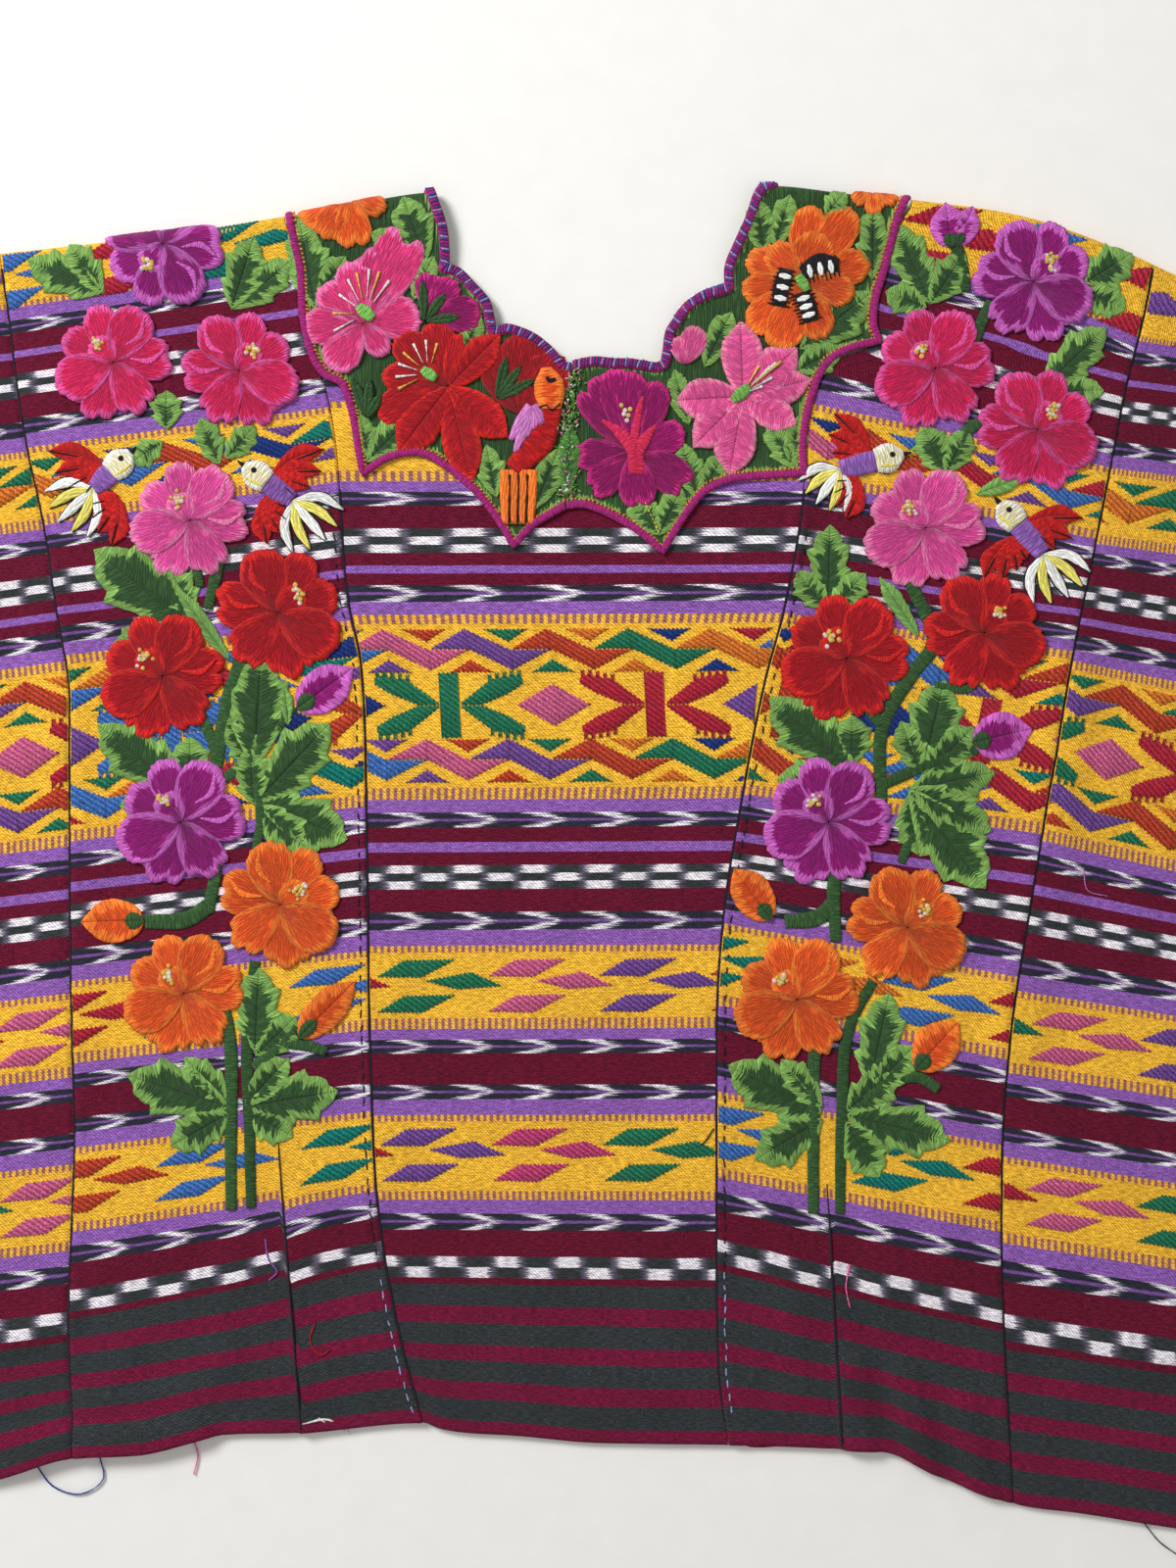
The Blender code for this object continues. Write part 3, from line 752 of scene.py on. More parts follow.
# %% Rows of the front, the fold and the back
def wall_point_below(points, x, along, wall):
    """Inner skin: straight down on the front, and toward the fold's centre round it."""
    turn_at = shoulder(x) - FOLD_RADIUS
    flat = np.asarray(along) <= turn_at
    below = np.maximum(BACK_WALL + LAYER_GAP * 0.5, points[..., 2] - wall)
    angle = np.clip((along - turn_at) / FOLD_RADIUS, 0, math.pi)
    reach = FOLD_RADIUS - wall
    inner = points.copy()
    inner[..., 1] = np.where(flat, points[..., 1], turn_at + reach * np.sin(angle))
    inner[..., 2] = np.where(flat, below, FOLD_RADIUS + reach * np.cos(angle))
    return inner


CENTER_TOP_LEVEL = 243.0
FOLD_TURNS = (0.25, 0.5, 0.75, 1.0)
FOLD_LEVELS, BACK_STARTS_BELOW = 5, 8


def front_row(panel, shares, wall, level, band, turn=0.0):
    """One row of front cloth, or of the fold where it has turned some way round it."""
    x, along = cloth_place(panel, shares, level)
    along = along + turn * FOLD_RADIUS * math.pi / 2
    outer = drape(x, along, PANEL_EDGES[panel][2])
    return outer, wall_point_below(outer, x, along, wall), level - turn * FOLD_LEVELS, band


def front_rows(panel, shares, wall, highest):
    return [front_row(panel, shares, wall, *row) for row in band_rows(CELL, FOLD_CELL, highest)]


def back_rows(panel, shares, highest):
    """Rows of the back, which lies flat, from the top down."""
    rows = band_rows(BACK_CELL, BACK_CELL, highest)
    row_bands = [len(bands) - 1] + [band for _, band in rows[:0:-1]]
    result = []
    for (level, _), band in zip(rows[::-1], row_bands):
        x, along = cloth_place(panel, shares, level)
        outer = np.stack([x, np.minimum(along, shoulder(x) - FOLD_RADIUS), 0 * x], axis=-1)
        result.append((outer, outer + [0, 0, BACK_WALL], level, band))
    return result


def folded_rows(panel, shares, wall):
    over = [front_row(panel, shares, wall, CHART_TOP, len(bands) - 1, turn) for turn in FOLD_TURNS]
    return (front_rows(panel, shares, wall, CHART_TOP) + over
            + back_rows(panel, shares, CHART_TOP - BACK_STARTS_BELOW))


print("rows of the back:", len(band_rows(BACK_CELL, BACK_CELL, CHART_TOP - BACK_STARTS_BELOW)))

# %% Build the panels
FOLDED_WALLS = {"side_panel_left": PANEL_WALL, "flower_strip_left": STRIP_WALL,
                "flower_strip_right": STRIP_WALL, "side_panel_right": PANEL_WALL}
center_width = PANEL_WIDTHS["center_front"]
shares = column_shares(center_width)
center_rows = {"center_front": front_rows("center_front", shares, PANEL_WALL, CENTER_TOP_LEVEL),
               "center_back": back_rows("center_front", shares, CENTER_TOP_LEVEL)}
pieces = {}
for name, rows in center_rows.items():
    pieces[name] = banded_sheet(name + "_cloth", rows, cloth_finishes, center_width, shares)
for panel, wall in FOLDED_WALLS.items():
    width = PANEL_WIDTHS[panel]
    shares = column_shares(width)
    rows = folded_rows(panel, shares, wall)
    pieces[panel] = banded_sheet(panel + "_cloth", rows, cloth_finishes, width, shares)

# %% [markdown]
# ## Camera, floor and light
# The blouse was looked at from straight above, with a lens a little wider than
# normal. The light is a large soft one from the upper left, so every stitch
# keeps a small shadow on its lower right side.

# %% Camera, lamps and floor
PHOTO_CENTER_Y = 0.0412
FRAME_HEIGHT = 0.784
LENS, SENSOR = 45.0, 36.0
FLOOR_HALF, FLOOR_Z = 3.0, -0.0006
OBJECT_COORDINATES = 3
WORLD_LIGHT = 0.42


def add_camera():
    data = bpy.data.cameras.new("camera")
    data.lens, data.sensor_height, data.sensor_fit = LENS, SENSOR, "VERTICAL"
    camera = scene_object("camera", data)
    camera.location = (0.0, PHOTO_CENTER_Y, FRAME_HEIGHT * LENS / SENSOR)
    bpy.context.scene.camera = camera


def add_light(name, place, size, power):
    data = bpy.data.lights.new(name, "AREA")
    data.size, data.energy = size, power
    light = scene_object(name, data)
    light.location = place
    light.rotation_euler = (-Vector(place)).to_track_quat("-Z", "Y").to_euler()


def add_floor():
    corners = [(x * FLOOR_HALF, y * FLOOR_HALF, FLOOR_Z) for x, y in ((-1, -1), (1, -1), (1, 1), (-1, 1))]
    floor = mesh_object("floor", corners, [(0, 1, 2, 3)], smooth=False)
    finish = Finish("floor_finish", 0.95, 0.0)
    speck = finish.noise(finish.node("TexCoord", {}, OBJECT_COORDINATES), 60.0)
    color = finish.shade(paint(233, 231, 227), speck, 0.97, 1.03)
    floor.data.materials.append(finish.done(color, speck, 0.0002))


print("the camera looks from", round(FRAME_HEIGHT * LENS / SENSOR, 3), "m above")

# %% Set up the studio
add_camera()
add_light("window_light", (-1.3, 1.2, 1.5), 0.7, 50.0)
add_light("fill_light", (1.4, -0.9, 1.8), 2.0, 7.0)
add_floor()
world = bpy.data.worlds.new("studio")
bpy.context.scene.world = world
world.use_nodes = True
background = world.node_tree.nodes["Background"]
background.inputs["Color"].default_value = (1.0, 1.0, 1.0, 1.0)
background.inputs["Strength"].default_value = WORLD_LIGHT
bpy.context.scene.view_settings.view_transform = "Standard"
print("lights:", len(bpy.data.lights))

# %% [markdown]
# ## Raised brocade
# In the yellow bands an extra coloured yarn is laid in by hand while the cloth is
# on the loom, so each figure stands a little proud and has a stepped edge. Every
# figure here is a strip between a lower and an upper curve. That is enough for
# arrows, zigzags, diamonds and combs, and one function can raise them all.

# %% The brocade's yarn
BROCADE_THREADS = ("pink", "purple", "rust", "green", "orange", "blue", "navy", "crimson", "teal",
                   "deep_pink")
YARN_ROWS_PER_CM = 7


def brocade_finish(thread):
    """Soft yarn in short floats that step aside from row to row."""
    finish = Finish("brocade_" + thread, 0.8, 0.06)
    cloth = finish.uv("cloth")
    across, up = finish.split(cloth)
    wander = finish.times(finish.noise(cloth, 4.0), 0.6)
    groove = finish.wave(finish.plus(finish.plus(finish.times(across, 2.6), finish.times(up, 3.4)), wander))
    float_ends = finish.between(finish.streaks(cloth, 1.0, 2.2, 11.0, 1.0), 0.3, 0.7)
    rows = finish.wave(finish.times(finish.plus(up, wander), YARN_ROWS_PER_CM))
    color = finish.shade(COLORS[thread], float_ends, 0.6, 1.3)
    # Painted shade in the slanted grooves between the floats and between the rows of yarn, and painted light
    # on the floats.
    color = finish.wave_shade(color, groove, 0.5, 1.22)
    color = finish.wave_shade(color, rows, 0.68, 1.16)
    height = finish.plus(finish.times(groove, 0.35), float_ends)
    return finish.done(color, height, 0.0006, 0.8)


brocade_finishes = {thread: brocade_finish(thread) for thread in BROCADE_THREADS}
print("brocade yarns:", len(brocade_finishes))

# %% A raised figure between two curves
FIGURE_RISE, SUNK_EDGE = 0.65, -0.15
YARN_STEP, STEPPED_EDGE = 1.0, 0.5
SIDE_MARGIN, SHORTEST_STRIP = 0.8, 1.0
LAST_SHARE = 0.995


class Figures(Gathered):
    """All the brocade of one panel."""

    def __init__(self, panel):
        super().__init__(panel + "_brocade", ("cloth",), brocade_finishes)
        self.panel, self.width = panel, PANEL_WIDTHS[panel]

    def width_at(self, level):
        """The strips lie over the centre, so the width that shows changes from band to band."""
        left, right, _ = PANEL_EDGES[self.panel]
        y = cloth_place(self.panel, 0.5, level)[1]
        return right(y) - left(y)

    def strip(self, ends, low_curve, high_curve, thread):
        """Raise thread between two curves of (u, level) points, from one end to the other."""
        level = (np.mean(low_curve, axis=0)[1] + np.mean(high_curve, axis=0)[1]) / 2
        first = max(ends[0], SIDE_MARGIN)
        last = min(ends[1], float(self.width_at(level)) - SIDE_MARGIN)
        if last - first < SHORTEST_STRIP:
            return
        u = np.linspace(first, last, max(3, int((last - first) / YARN_STEP)))
        step = STEPPED_EDGE * (-1.0) ** np.arange(len(u))
        low = np.interp(u, *np.array(low_curve, float).T) - step
        high = np.interp(u, *np.array(high_curve, float).T) + step
        inset = np.minimum(0.5, np.maximum(high - low, 0.1) * 0.3)
        levels = [low, low + inset, high - inset, high]
        rows = []
        for level, raised in zip(levels, (SUNK_EDGE, FIGURE_RISE, FIGURE_RISE, SUNK_EDGE)):
            share = np.minimum(u / self.width_at(level), LAST_SHARE)
            rows.append(drape(*cloth_place(self.panel, share, level), PANEL_EDGES[self.panel][2], raised))
        flat = np.stack([np.tile(u, 4), np.concatenate(levels)], axis=-1) / 10
        self.add(np.concatenate(rows), grid_quads(4, len(u)), thread, flat)


shown = Figures("center_front").width_at(np.array([-250.0, 0.0, 200.0]))
print("the centre shows", np.round(shown), "mm wide at three levels")

# %% [markdown]
# ## The figures
# The weaver repeats a few figures: pairs of leaning arrows, a zigzag whose
# colour changes at each turn, little triangles in its bays, combs and diamonds.
# Each function draws one of them at a place along the band.

# %% Arrows
ARROW_REPEAT = 55.3
LEANING = ([(0, 0), (21.6, -0.6), (37.4, 7.8)], [(0, 0.5), (12.9, 8.2), (37.4, 8.6)])
POINTING = ([(0, -0.5), (15, -4.6), (36.6, -3.0)], [(0, 0.2), (22, 4.2), (36.6, -2.4)])
ARROWS = ((0.0, 10.8, LEANING), (0.0, 28.6, LEANING), (24.4, 12.9, POINTING))  # ahead, below top, shape
NOT_TUCKED = 1000.0


def moved(curve, u, level):
    return [(u + du, level + dl) for du, dl in curve]


def arrows(figures, top, start, threads, tucked_from=NOT_TUCKED, jump=0.0):
    """Three leaning arrows to a repeat: two lean up, and one between them points on."""
    for index in range(-1, int(figures.width / ARROW_REPEAT) + 2):
        u = start + index * ARROW_REPEAT
        u += jump * (u > tucked_from)
        for ahead, below, (low, high) in ARROWS:
            at = (u + ahead, top - below)
            ends = (at[0], at[0] + low[-1][0])
            figures.strip(ends, moved(low, *at), moved(high, *at), threads[index % len(threads)])


print("arrows in a repeat of", ARROW_REPEAT, "mm:", len(ARROWS))

# %% Zigzags with triangles in their bays
ZIGZAG_REPEAT, ZIGZAG_DROP, ZIGZAG_THICK = 40.8, 10.3, 10.4
TRIANGLE_HALF, TRIANGLE_HEIGHT = 10.6, 6.4


def triangle(figures, middle, base, height, thread):
    ends = (middle - TRIANGLE_HALF, middle + TRIANGLE_HALF)
    sides = [(ends[0], base), (middle, base + height), (ends[1], base)]
    level = [(ends[0], base), (ends[1], base)]
    figures.strip(ends, *((level, sides) if height > 0 else (sides, level)), thread)


def zigzag(figures, top, first_peak, threads, small):
    for index in range(-3, int(figures.width / ZIGZAG_REPEAT) + 3):
        peak = first_peak + index * ZIGZAG_REPEAT
        valley, next_peak = peak + ZIGZAG_REPEAT / 2, peak + ZIGZAG_REPEAT
        thread, next_thread = threads[index % len(threads)], threads[(index + 1) % len(threads)]
        fall = [(peak, top), (valley, top - ZIGZAG_DROP)]
        figures.strip((peak, valley), moved(fall, 0, -ZIGZAG_THICK), fall, thread)
        rise = [(valley, top - ZIGZAG_DROP), (next_peak, top)]
        split = [(valley, top - ZIGZAG_DROP), (next_peak, top - ZIGZAG_THICK)]
        figures.strip((valley, next_peak), moved(rise, 0, -ZIGZAG_THICK), split, thread)
        figures.strip((valley + 2, next_peak), split, rise, next_thread)
        bay = small[index % len(small)]
        triangle(figures, valley, top - 0.3, -TRIANGLE_HEIGHT, bay)
        triangle(figures, next_peak, top - ZIGZAG_DROP - ZIGZAG_THICK - 1.0, TRIANGLE_HEIGHT, bay)


print("a zigzag is", ZIGZAG_DROP + ZIGZAG_THICK, "mm high")

# %% Combs and diamonds
COMB_BAR = (4.8, 16.3)
COMB_REACH, COMB_OUTER = [-31, -29, -15, 0], [13.0, 15.4, 12.8, 1.4]
COMB_INNER_REACH, COMB_INNER = [-31, -23, -10, 0], [10.4, 5.4, 0.0, 0.0]
FEATHERS, FEATHER_PITCH = 5, 3.7
DIAMOND_HALF, DIAMOND_HEIGHT = 18.3, 10.6


def comb(figures, middle, level, thread):
    """A bar between two arrow heads whose ends are feathered."""
    half, height = COMB_BAR
    figures.strip((middle - half, middle + half), [(middle, level - height)], [(middle, level + height)],
                  thread)
    for facing in (1, -1):
        tip = middle - facing * 5.8
        ends = sorted((tip, tip + facing * COMB_REACH[0]))
        for up in (1, -1):
            outside = sorted((tip + facing * r, level + up * h) for r, h in zip(COMB_REACH, COMB_OUTER))
            inside = sorted((tip + facing * r, level + up * h)
                            for r, h in zip(COMB_INNER_REACH, COMB_INNER))
            figures.strip(ends, *((inside, outside) if up > 0 else (outside, inside)), thread)
            for feather in range(FEATHERS):
                u = tip + facing * (COMB_REACH[0] + 1.5 + feather * FEATHER_PITCH)
                edge = np.interp(facing * (u - tip), COMB_REACH, COMB_OUTER)
                low, high = sorted((level + up * (edge - 1.0), level + up * (edge + 2.6)))
                figures.strip((u - 0.8, u + 0.8), [(u, low)], [(u, high)], thread)


def diamond(figures, middle, level, thread):
    ends = (middle - DIAMOND_HALF, middle + DIAMOND_HALF)
    low, high = [[(ends[0], level), (middle, level + height), (ends[1], level)]
                 for height in (-DIAMOND_HEIGHT, DIAMOND_HEIGHT)]
    figures.strip(ends, low, high, thread)


print("a comb is", 2 * (5.8 - COMB_REACH[0]), "mm long")

# %% [markdown]
# ## Placing the figures on each panel
# The widths were cut from one long web at any point, so the figures start at a
# different place in each panel. The table gives that start and the colours.

# %% Where the figures start, and their colours
MAIN = ["pink", "purple", "rust", "green", "orange", "blue"]
BAYS = ["rust", "green", "orange", "navy", "crimson", "purple"]
STRIP_MAIN = ["orange", "crimson", "teal", "navy", "rust", "blue"]
STRIP_BAYS = ["navy", "blue", "purple", "teal", "crimson", "green"]
RIGHT_MAIN = ["rust", "crimson", "blue", "crimson", "rust", "pink"]
COMBS, DIAMONDS = ["green", "crimson"], ["navy", "pink", "purple"]
FIGURE_PLAN = {
    # panel: zigzag start, colours, bays, combs, diamonds, arrow starts and colours
    "center_front": (0.0, MAIN, BAYS, COMBS, DIAMONDS,
                     (4.5, ["green", "pink", "purple", "crimson"]),
                     (3.6, ["purple", "deep_pink", "green", "crimson"])),
    "side_panel_left": (-15.4, MAIN, BAYS, COMBS, DIAMONDS,
                        (8.0, ["crimson", "pink", "green"]), (12.0, ["green", "pink", "crimson"])),
    "side_panel_right": (-67.4, MAIN, BAYS, COMBS, DIAMONDS,
                         (10.0, ["pink", "purple", "green"]), (12.0, ["pink", "green", "crimson"])),
    "flower_strip_left": (7.7, STRIP_MAIN, STRIP_BAYS, ["blue", "rust"], ["purple", "navy"],
                          (-20.0, ["crimson", "teal", "blue"], 70, 18),
                          (-14.0, ["rust", "blue", "teal"], 70, 17)),
    "flower_strip_right": (-30.0, RIGHT_MAIN, STRIP_BAYS, ["rust", "crimson"], ["pink", "navy"],
                           (-24.0, ["teal", "orange", "blue", "crimson"], 70, -6),
                           (-14.0, ["blue", "teal", "crimson"], 30, 26)),
}
print("panels with brocade:", len(FIGURE_PLAN))

# %% Lay the figures in the yellow bands
FIRST_PEAK, FIRST_COMB = 13.8, 42.7
COMB_REPEAT, COMB_TO_DIAMOND, COMB_BELOW_TOP = 102.2, 51.6, 38.1
LOWER_ZIGZAG_BELOW_TOP, LOWER_ZIGZAG_SHIFT = 54.8, 16.5


def lay_figures(panel):
    figures = Figures(panel)
    start, main, bays, combs, diamonds, high_arrows, low_arrows = FIGURE_PLAN[panel]
    tops = {kind: high for kind, low, high in bands}
    arrows(figures, tops["arrows_high"], *high_arrows)
    arrows(figures, tops["arrows_low"], *low_arrows)
    top = tops["combs"] - 0.7
    zigzag(figures, top, start + FIRST_PEAK, main, bays)
    zigzag(figures, top - LOWER_ZIGZAG_BELOW_TOP, start + FIRST_PEAK + LOWER_ZIGZAG_SHIFT, main, bays)
    for index in range(-1, 3):
        middle = start + FIRST_COMB + index * COMB_REPEAT
        comb(figures, middle, top - COMB_BELOW_TOP, combs[index % len(combs)])
        diamond(figures, middle + COMB_TO_DIAMOND, top - COMB_BELOW_TOP,
                diamonds[(index + 1) % len(diamonds)])
    if panel != "center_front":
        zigzag(figures, tops["diamonds"] - 2.0, start + 20, main[::-1], bays)
        arrows(figures, tops["arrows_top"] - 1.0, start + 30, main[1:])
    return figures.build()


brocades = {panel: lay_figures(panel) for panel in FIGURE_PLAN}

# %% [markdown]
# ## Satin stitch
# The embroidery is thick cotton laid side by side, so light runs along each
# stitch and a petal looks like fur combed one way. A flat picture of a flower
# would miss that. Each petal and leaf is a small domed grid instead. One UV map
# runs across and along the stitches, the other holds the distance to the edge,
# where the colour turns lighter in uneven stitches.

# %% The satin finish
def satin_finish(name, inside, rim, rim_width=3.2, ragged_by=3.6):
    finish = Finish(name, 0.72, 0.08)
    stitch = finish.uv("stitch")
    edge, tone = finish.split(finish.uv("edge"))
    ends = finish.between(finish.streaks(stitch, 1.0, 0.1, 8.0, 1.0), 0.3, 0.7)
    thread = finish.between(finish.streaks(stitch, 1.0, 0.12, 13.0), 0.3, 0.7)
    reach = finish.scaled(finish.minus(ends, 0.5), ragged_by / 10, edge)
    inner_share = finish.between(reach, rim_width / 10 - 0.03, rim_width / 10 + 0.05)
    color = finish.mix(inner_share, rim, inside)
    # Painted shade: the colour turns darker with distance from the edge, as shade toward a petal's heart and
    # a leaf's midrib, with a touch of painted light at the rim.
    color = finish.shade(color, finish.between(edge, 0.4, 2.2), 1.04, 0.8)
    color = finish.shade(color, thread, 0.6, 1.32)
    color = finish.shade(color, tone, 0.86, 1.12)
    return finish.done(color, thread, 0.0007, 0.9)


SATINS = {  # inside and rim
    "hot_pink": ((204, 30, 84), (220, 80, 152)), "light_pink": ((220, 74, 150), (232, 122, 172)),
    "red": ((164, 14, 28), (208, 34, 32)), "purple": ((142, 20, 112), (202, 98, 190)),
    "orange": ((224, 84, 30), (242, 122, 44)), "leaf": ((50, 82, 44), (126, 168, 84)),
    "light_leaf": ((114, 158, 78), (126, 172, 88)), "stem": ((48, 80, 42), (52, 86, 46)),
    "knot_yellow": ((222, 180, 60), (236, 200, 90)), "knot_white": ((232, 218, 200), (240, 232, 222)),
    "wing_red": ((186, 20, 24), (198, 30, 28)), "body_purple": ((128, 84, 160), (138, 92, 168)),
    "head": ((232, 222, 180), (240, 236, 220)), "tail_white": ((238, 236, 230), (240, 240, 236)),
    "tail_yellow": ((236, 218, 70), (240, 226, 110)), "black": ((22, 20, 24), (26, 24, 28)),
    "lily_red": ((172, 18, 30), (206, 34, 30)), "poppy_pink": ((214, 54, 116), (232, 110, 168)),
    "star_pink": ((222, 84, 146), (234, 124, 164)), "orchid": ((146, 16, 96), (202, 44, 126)),
    "orchid_heart": ((196, 30, 66), (206, 42, 84)), "dark_red": ((150, 18, 28), (166, 24, 32)),
    "fresh_green": ((88, 158, 62), (120, 180, 84)), "wing_lilac": ((196, 112, 186), (206, 124, 194)),
    "stitch_orange": ((226, 130, 60), (232, 140, 70)), "magenta": ((150, 26, 104), (160, 34, 112)),
    # The dark thread on the next line serves for running stitches and also as painted shadow along the seams
    # and the tuck.
    "seam_dark": ((30, 18, 32), (34, 22, 36)), "navy_thread": ((36, 52, 128), (46, 66, 150)),
    "sky_thread": ((120, 140, 190), (150, 160, 200)), "moss": ((56, 92, 48), (80, 130, 58)),
}
WIDE_RIMS = {  # width in mm, and how far its stitches end apart
    "leaf": (4.3, 3.0), "purple": (4.3, 2.4), "orchid": (2.6, 3.4), "red": (3.8, 2.6),
    "orange": (3.8, 3.0), "lily_red": (2.2, 2.0), "star_pink": (2.2, 2.0),
}
satins = {}
for name, (inside, rim) in SATINS.items():
    rim_form = WIDE_RIMS.get(name, ())
    satins[name] = satin_finish("satin_" + name, paint(*inside), paint(*rim), *rim_form)
print("satin threads:", len(satins))

# %% One mesh for each part's stitched shapes
SKIRT, LOWEST = -0.15, -0.35
rng = np.random.default_rng(11)


def cloth_top(x, y):
    """Top of whichever panel lies at a point."""
    in_left = (x > left_side_seam(y)) & (x < left_strip_edge(y))
    in_right = (x < right_side_seam(y)) & (x > right_strip_edge(y))
    return np.where(in_left | in_right, strip_top(x, y), panel_top(x, y))


def facing_up(quads, x, y):
    """Turn the faces of a grid over if they look down into the cloth."""
    step_x, step_y = x[:-1, 1:] - x[:-1, :-1], y[:-1, 1:] - y[:-1, :-1]
    over_x, over_y = x[1:, 1:] - x[:-1, :-1], y[1:, 1:] - y[:-1, :-1]
    return quads[:, ::-1] if (step_x * over_y - over_x * step_y).sum() < 0 else quads


class Stitching(Gathered):
    """Stitched shapes on one part of the blouse."""

    def __init__(self, name, top=cloth_top):
        super().__init__(name, ("stitch", "edge"), satins)
        self.top = top

    def patch(self, x, y, height, stitch_u, stitch_v, edge, color, tone=None, open_start=False):
        """Add a domed grid; its rim sinks into the cloth so that no gap shows."""
        arrays = np.broadcast_arrays(x, y, height, stitch_u, stitch_v, edge)
        x, y, height, stitch_u, stitch_v, edge = [np.pad(a, 1, mode="edge") for a in arrays]
        sunk = [np.s_[-1, :], np.s_[:, 0], np.s_[:, -1]] + ([] if open_start else [np.s_[0, :]])
        for side in sunk:
            height[side] = SKIRT
        placed = drape(x, y, self.top, height).reshape(-1, 3)
        placed[:, 2] = np.maximum(placed[:, 2], LOWEST)
        tone = rng.random() if tone is None else tone
        stitch = np.stack([stitch_u.ravel(), stitch_v.ravel()], axis=-1) / 10
        from_edge = np.stack([edge.ravel() / 10, np.full(edge.size, tone)], axis=-1)
        self.add(placed, facing_up(grid_quads(*x.shape), x, y), color, stitch, from_edge)


print("cloth's height at the middle:", np.round(cloth_top(0.0, 0.0), 2), "mm")

# %% [markdown]
# ## Petals, blades and ribbons of stitches
# Three shapes draw everything that is embroidered. A petal fans out from the
# flower's heart. A blade has a midrib and two sides, and makes leaves and
# pointed petals. A ribbon follows a line and makes stems, feathers and rims.

# %% A petal
PETAL_ROWS, PETAL_STITCHES = 13, 27


def petal(work, x, y, angle, reach, spread, color, layer, lobes, thick):
    """A fan of stitches from a flower's heart at (x, y), angles in degrees, lengths in mm."""
    along = np.linspace(0.02, 1.0, PETAL_ROWS)[:, None]
    across = np.linspace(0.0, 1.0, PETAL_STITCHES)[None, :]
    off = 2 * across - 1
    length = reach * (1 - 0.34 * np.abs(off) ** 2.3)
    if lobes:
        wave = np.abs(np.sin(math.pi * lobes * across + 0.5 * math.sin(angle)))
        length = length * (0.87 + 0.15 * wave ** 0.55)
    length = length + rng.normal(0, 0.42, across.shape)
    half = math.radians(min(spread * 1.24, spread + 16)) / 2
    turn = math.radians(angle) + half * off * (1 + 0.55 * (1 - along) ** 1.5 - 0.14 * along ** 3)
    from_edge = (1 - along) * length
    for side in (-1, 1):
        from_side = along * length * np.sin(half * np.clip(1 - side * off, 0, 1)) * 1.1
        from_edge = np.minimum(from_edge, from_side + 12 * np.clip(0.42 - along, 0, 1))
    dome = np.sin(math.pi * np.clip(0.1 + along * 0.78, 0, 1)) ** 0.55
    dome = dome * (1 - 0.45 * np.abs(off) ** 5) * np.where(along > 0.97, 0.62, 1.0)
    rim_roll = 0.28 * np.exp(-((from_edge - 2.0) / 1.4) ** 2)
    threads = rng.normal(0, 0.045, across.shape)
    height = layer + 0.35 + thick * dome + rim_roll + threads
    work.patch(x + along * length * np.cos(turn), y + along * length * np.sin(turn), height,
               off * half * reach, along * length, from_edge, color, open_start=True)


print("points in a petal:", PETAL_ROWS * PETAL_STITCHES)


# %% A blade
BLADE_ROWS, BLADE_STITCHES = 31, 9


def aside_of(run):
    """The same run turned a quarter to its left."""
    return np.array([-run[1], run[0]])


def blade(work, base, tip, half_width, color, layer=0.0, teeth=0, fullness=0.8, thick=1.0, bend=0.0,
          blunt=False):
    """A leaf or a pointed petal between two points, stitched out from its midrib."""
    base, tip = np.array(base, float), np.array(tip, float)
    run = tip - base
    length = float(np.hypot(*run))
    ahead, aside = run / length, aside_of(run) / length
    along = np.linspace(0.0, 1.0, BLADE_ROWS)[:, None]
    out = np.linspace(0.0, 1.0, BLADE_STITCHES)[None, :]
    pointed = along ** 0.6 * (1 - along) ** 0.85 * 2.55
    outline = np.sin(math.pi * along ** fullness) ** 0.75 if blunt else pointed
    forward = 0.22 * length * out * np.sin(math.pi * along) ** 0.7 * (1 - along ** 2)
    middle = bend * np.sin(math.pi * along) * length
    dome = np.sin(math.pi * np.clip(0.08 + out * 0.86, 0, 1)) ** 0.6
    fade = 0.35 + 0.65 * np.sin(math.pi * np.clip(along, 0.04, 0.96)) ** 0.4
    for side in (1, -1):
        width = half_width * outline
        if teeth:
            step = np.mod(along * teeth + 0.35 * (side > 0), 1.0)
            width = width * (0.76 + 0.34 * step ** 1.5)
        width = np.maximum(width, 0.2) + rng.normal(0, 0.2, along.shape)
        x, y = [base[axis] + ahead[axis] * (along * length + forward)
                + aside[axis] * (side * out * width + middle) for axis in (0, 1)]
        height = layer + 0.3 + thick * dome * fade + rng.normal(0, 0.04, along.shape)
        edge = np.minimum((1 - out) * width, (1 - along) * length * 0.5)
        work.patch(x, y, height, along * length, out * width, edge, color)


print("points in a blade:", 2 * BLADE_ROWS * BLADE_STITCHES)


# %% A ribbon
TINY = 1e-9


def soft_along(steps, values, at):
    """A smooth curve through values met at given distances."""
    if len(values) < 3:
        return np.interp(at, steps, values)
    slope = np.gradient(values, steps)
    i = np.clip(np.searchsorted(steps, at) - 1, 0, len(steps) - 2)
    run = steps[i + 1] - steps[i]
    return hermite((at - steps[i]) / run, run, values[i], values[i + 1], slope[i], slope[i + 1])


def distances(line):
    """How far along a line each of its points lies."""
    return np.concatenate([[0], np.cumsum(np.hypot(*np.diff(line, axis=0).T))])


def spread_aside(line, off, half):
    """Points to both sides of a line, off from -1 to 1 times a half width."""
    heading = np.gradient(line, axis=0)
    heading /= np.maximum(np.hypot(*heading.T)[:, None], TINY)
    return line[:, :1] - heading[:, 1:] * off * half, line[:, 1:] + heading[:, :1] * off * half


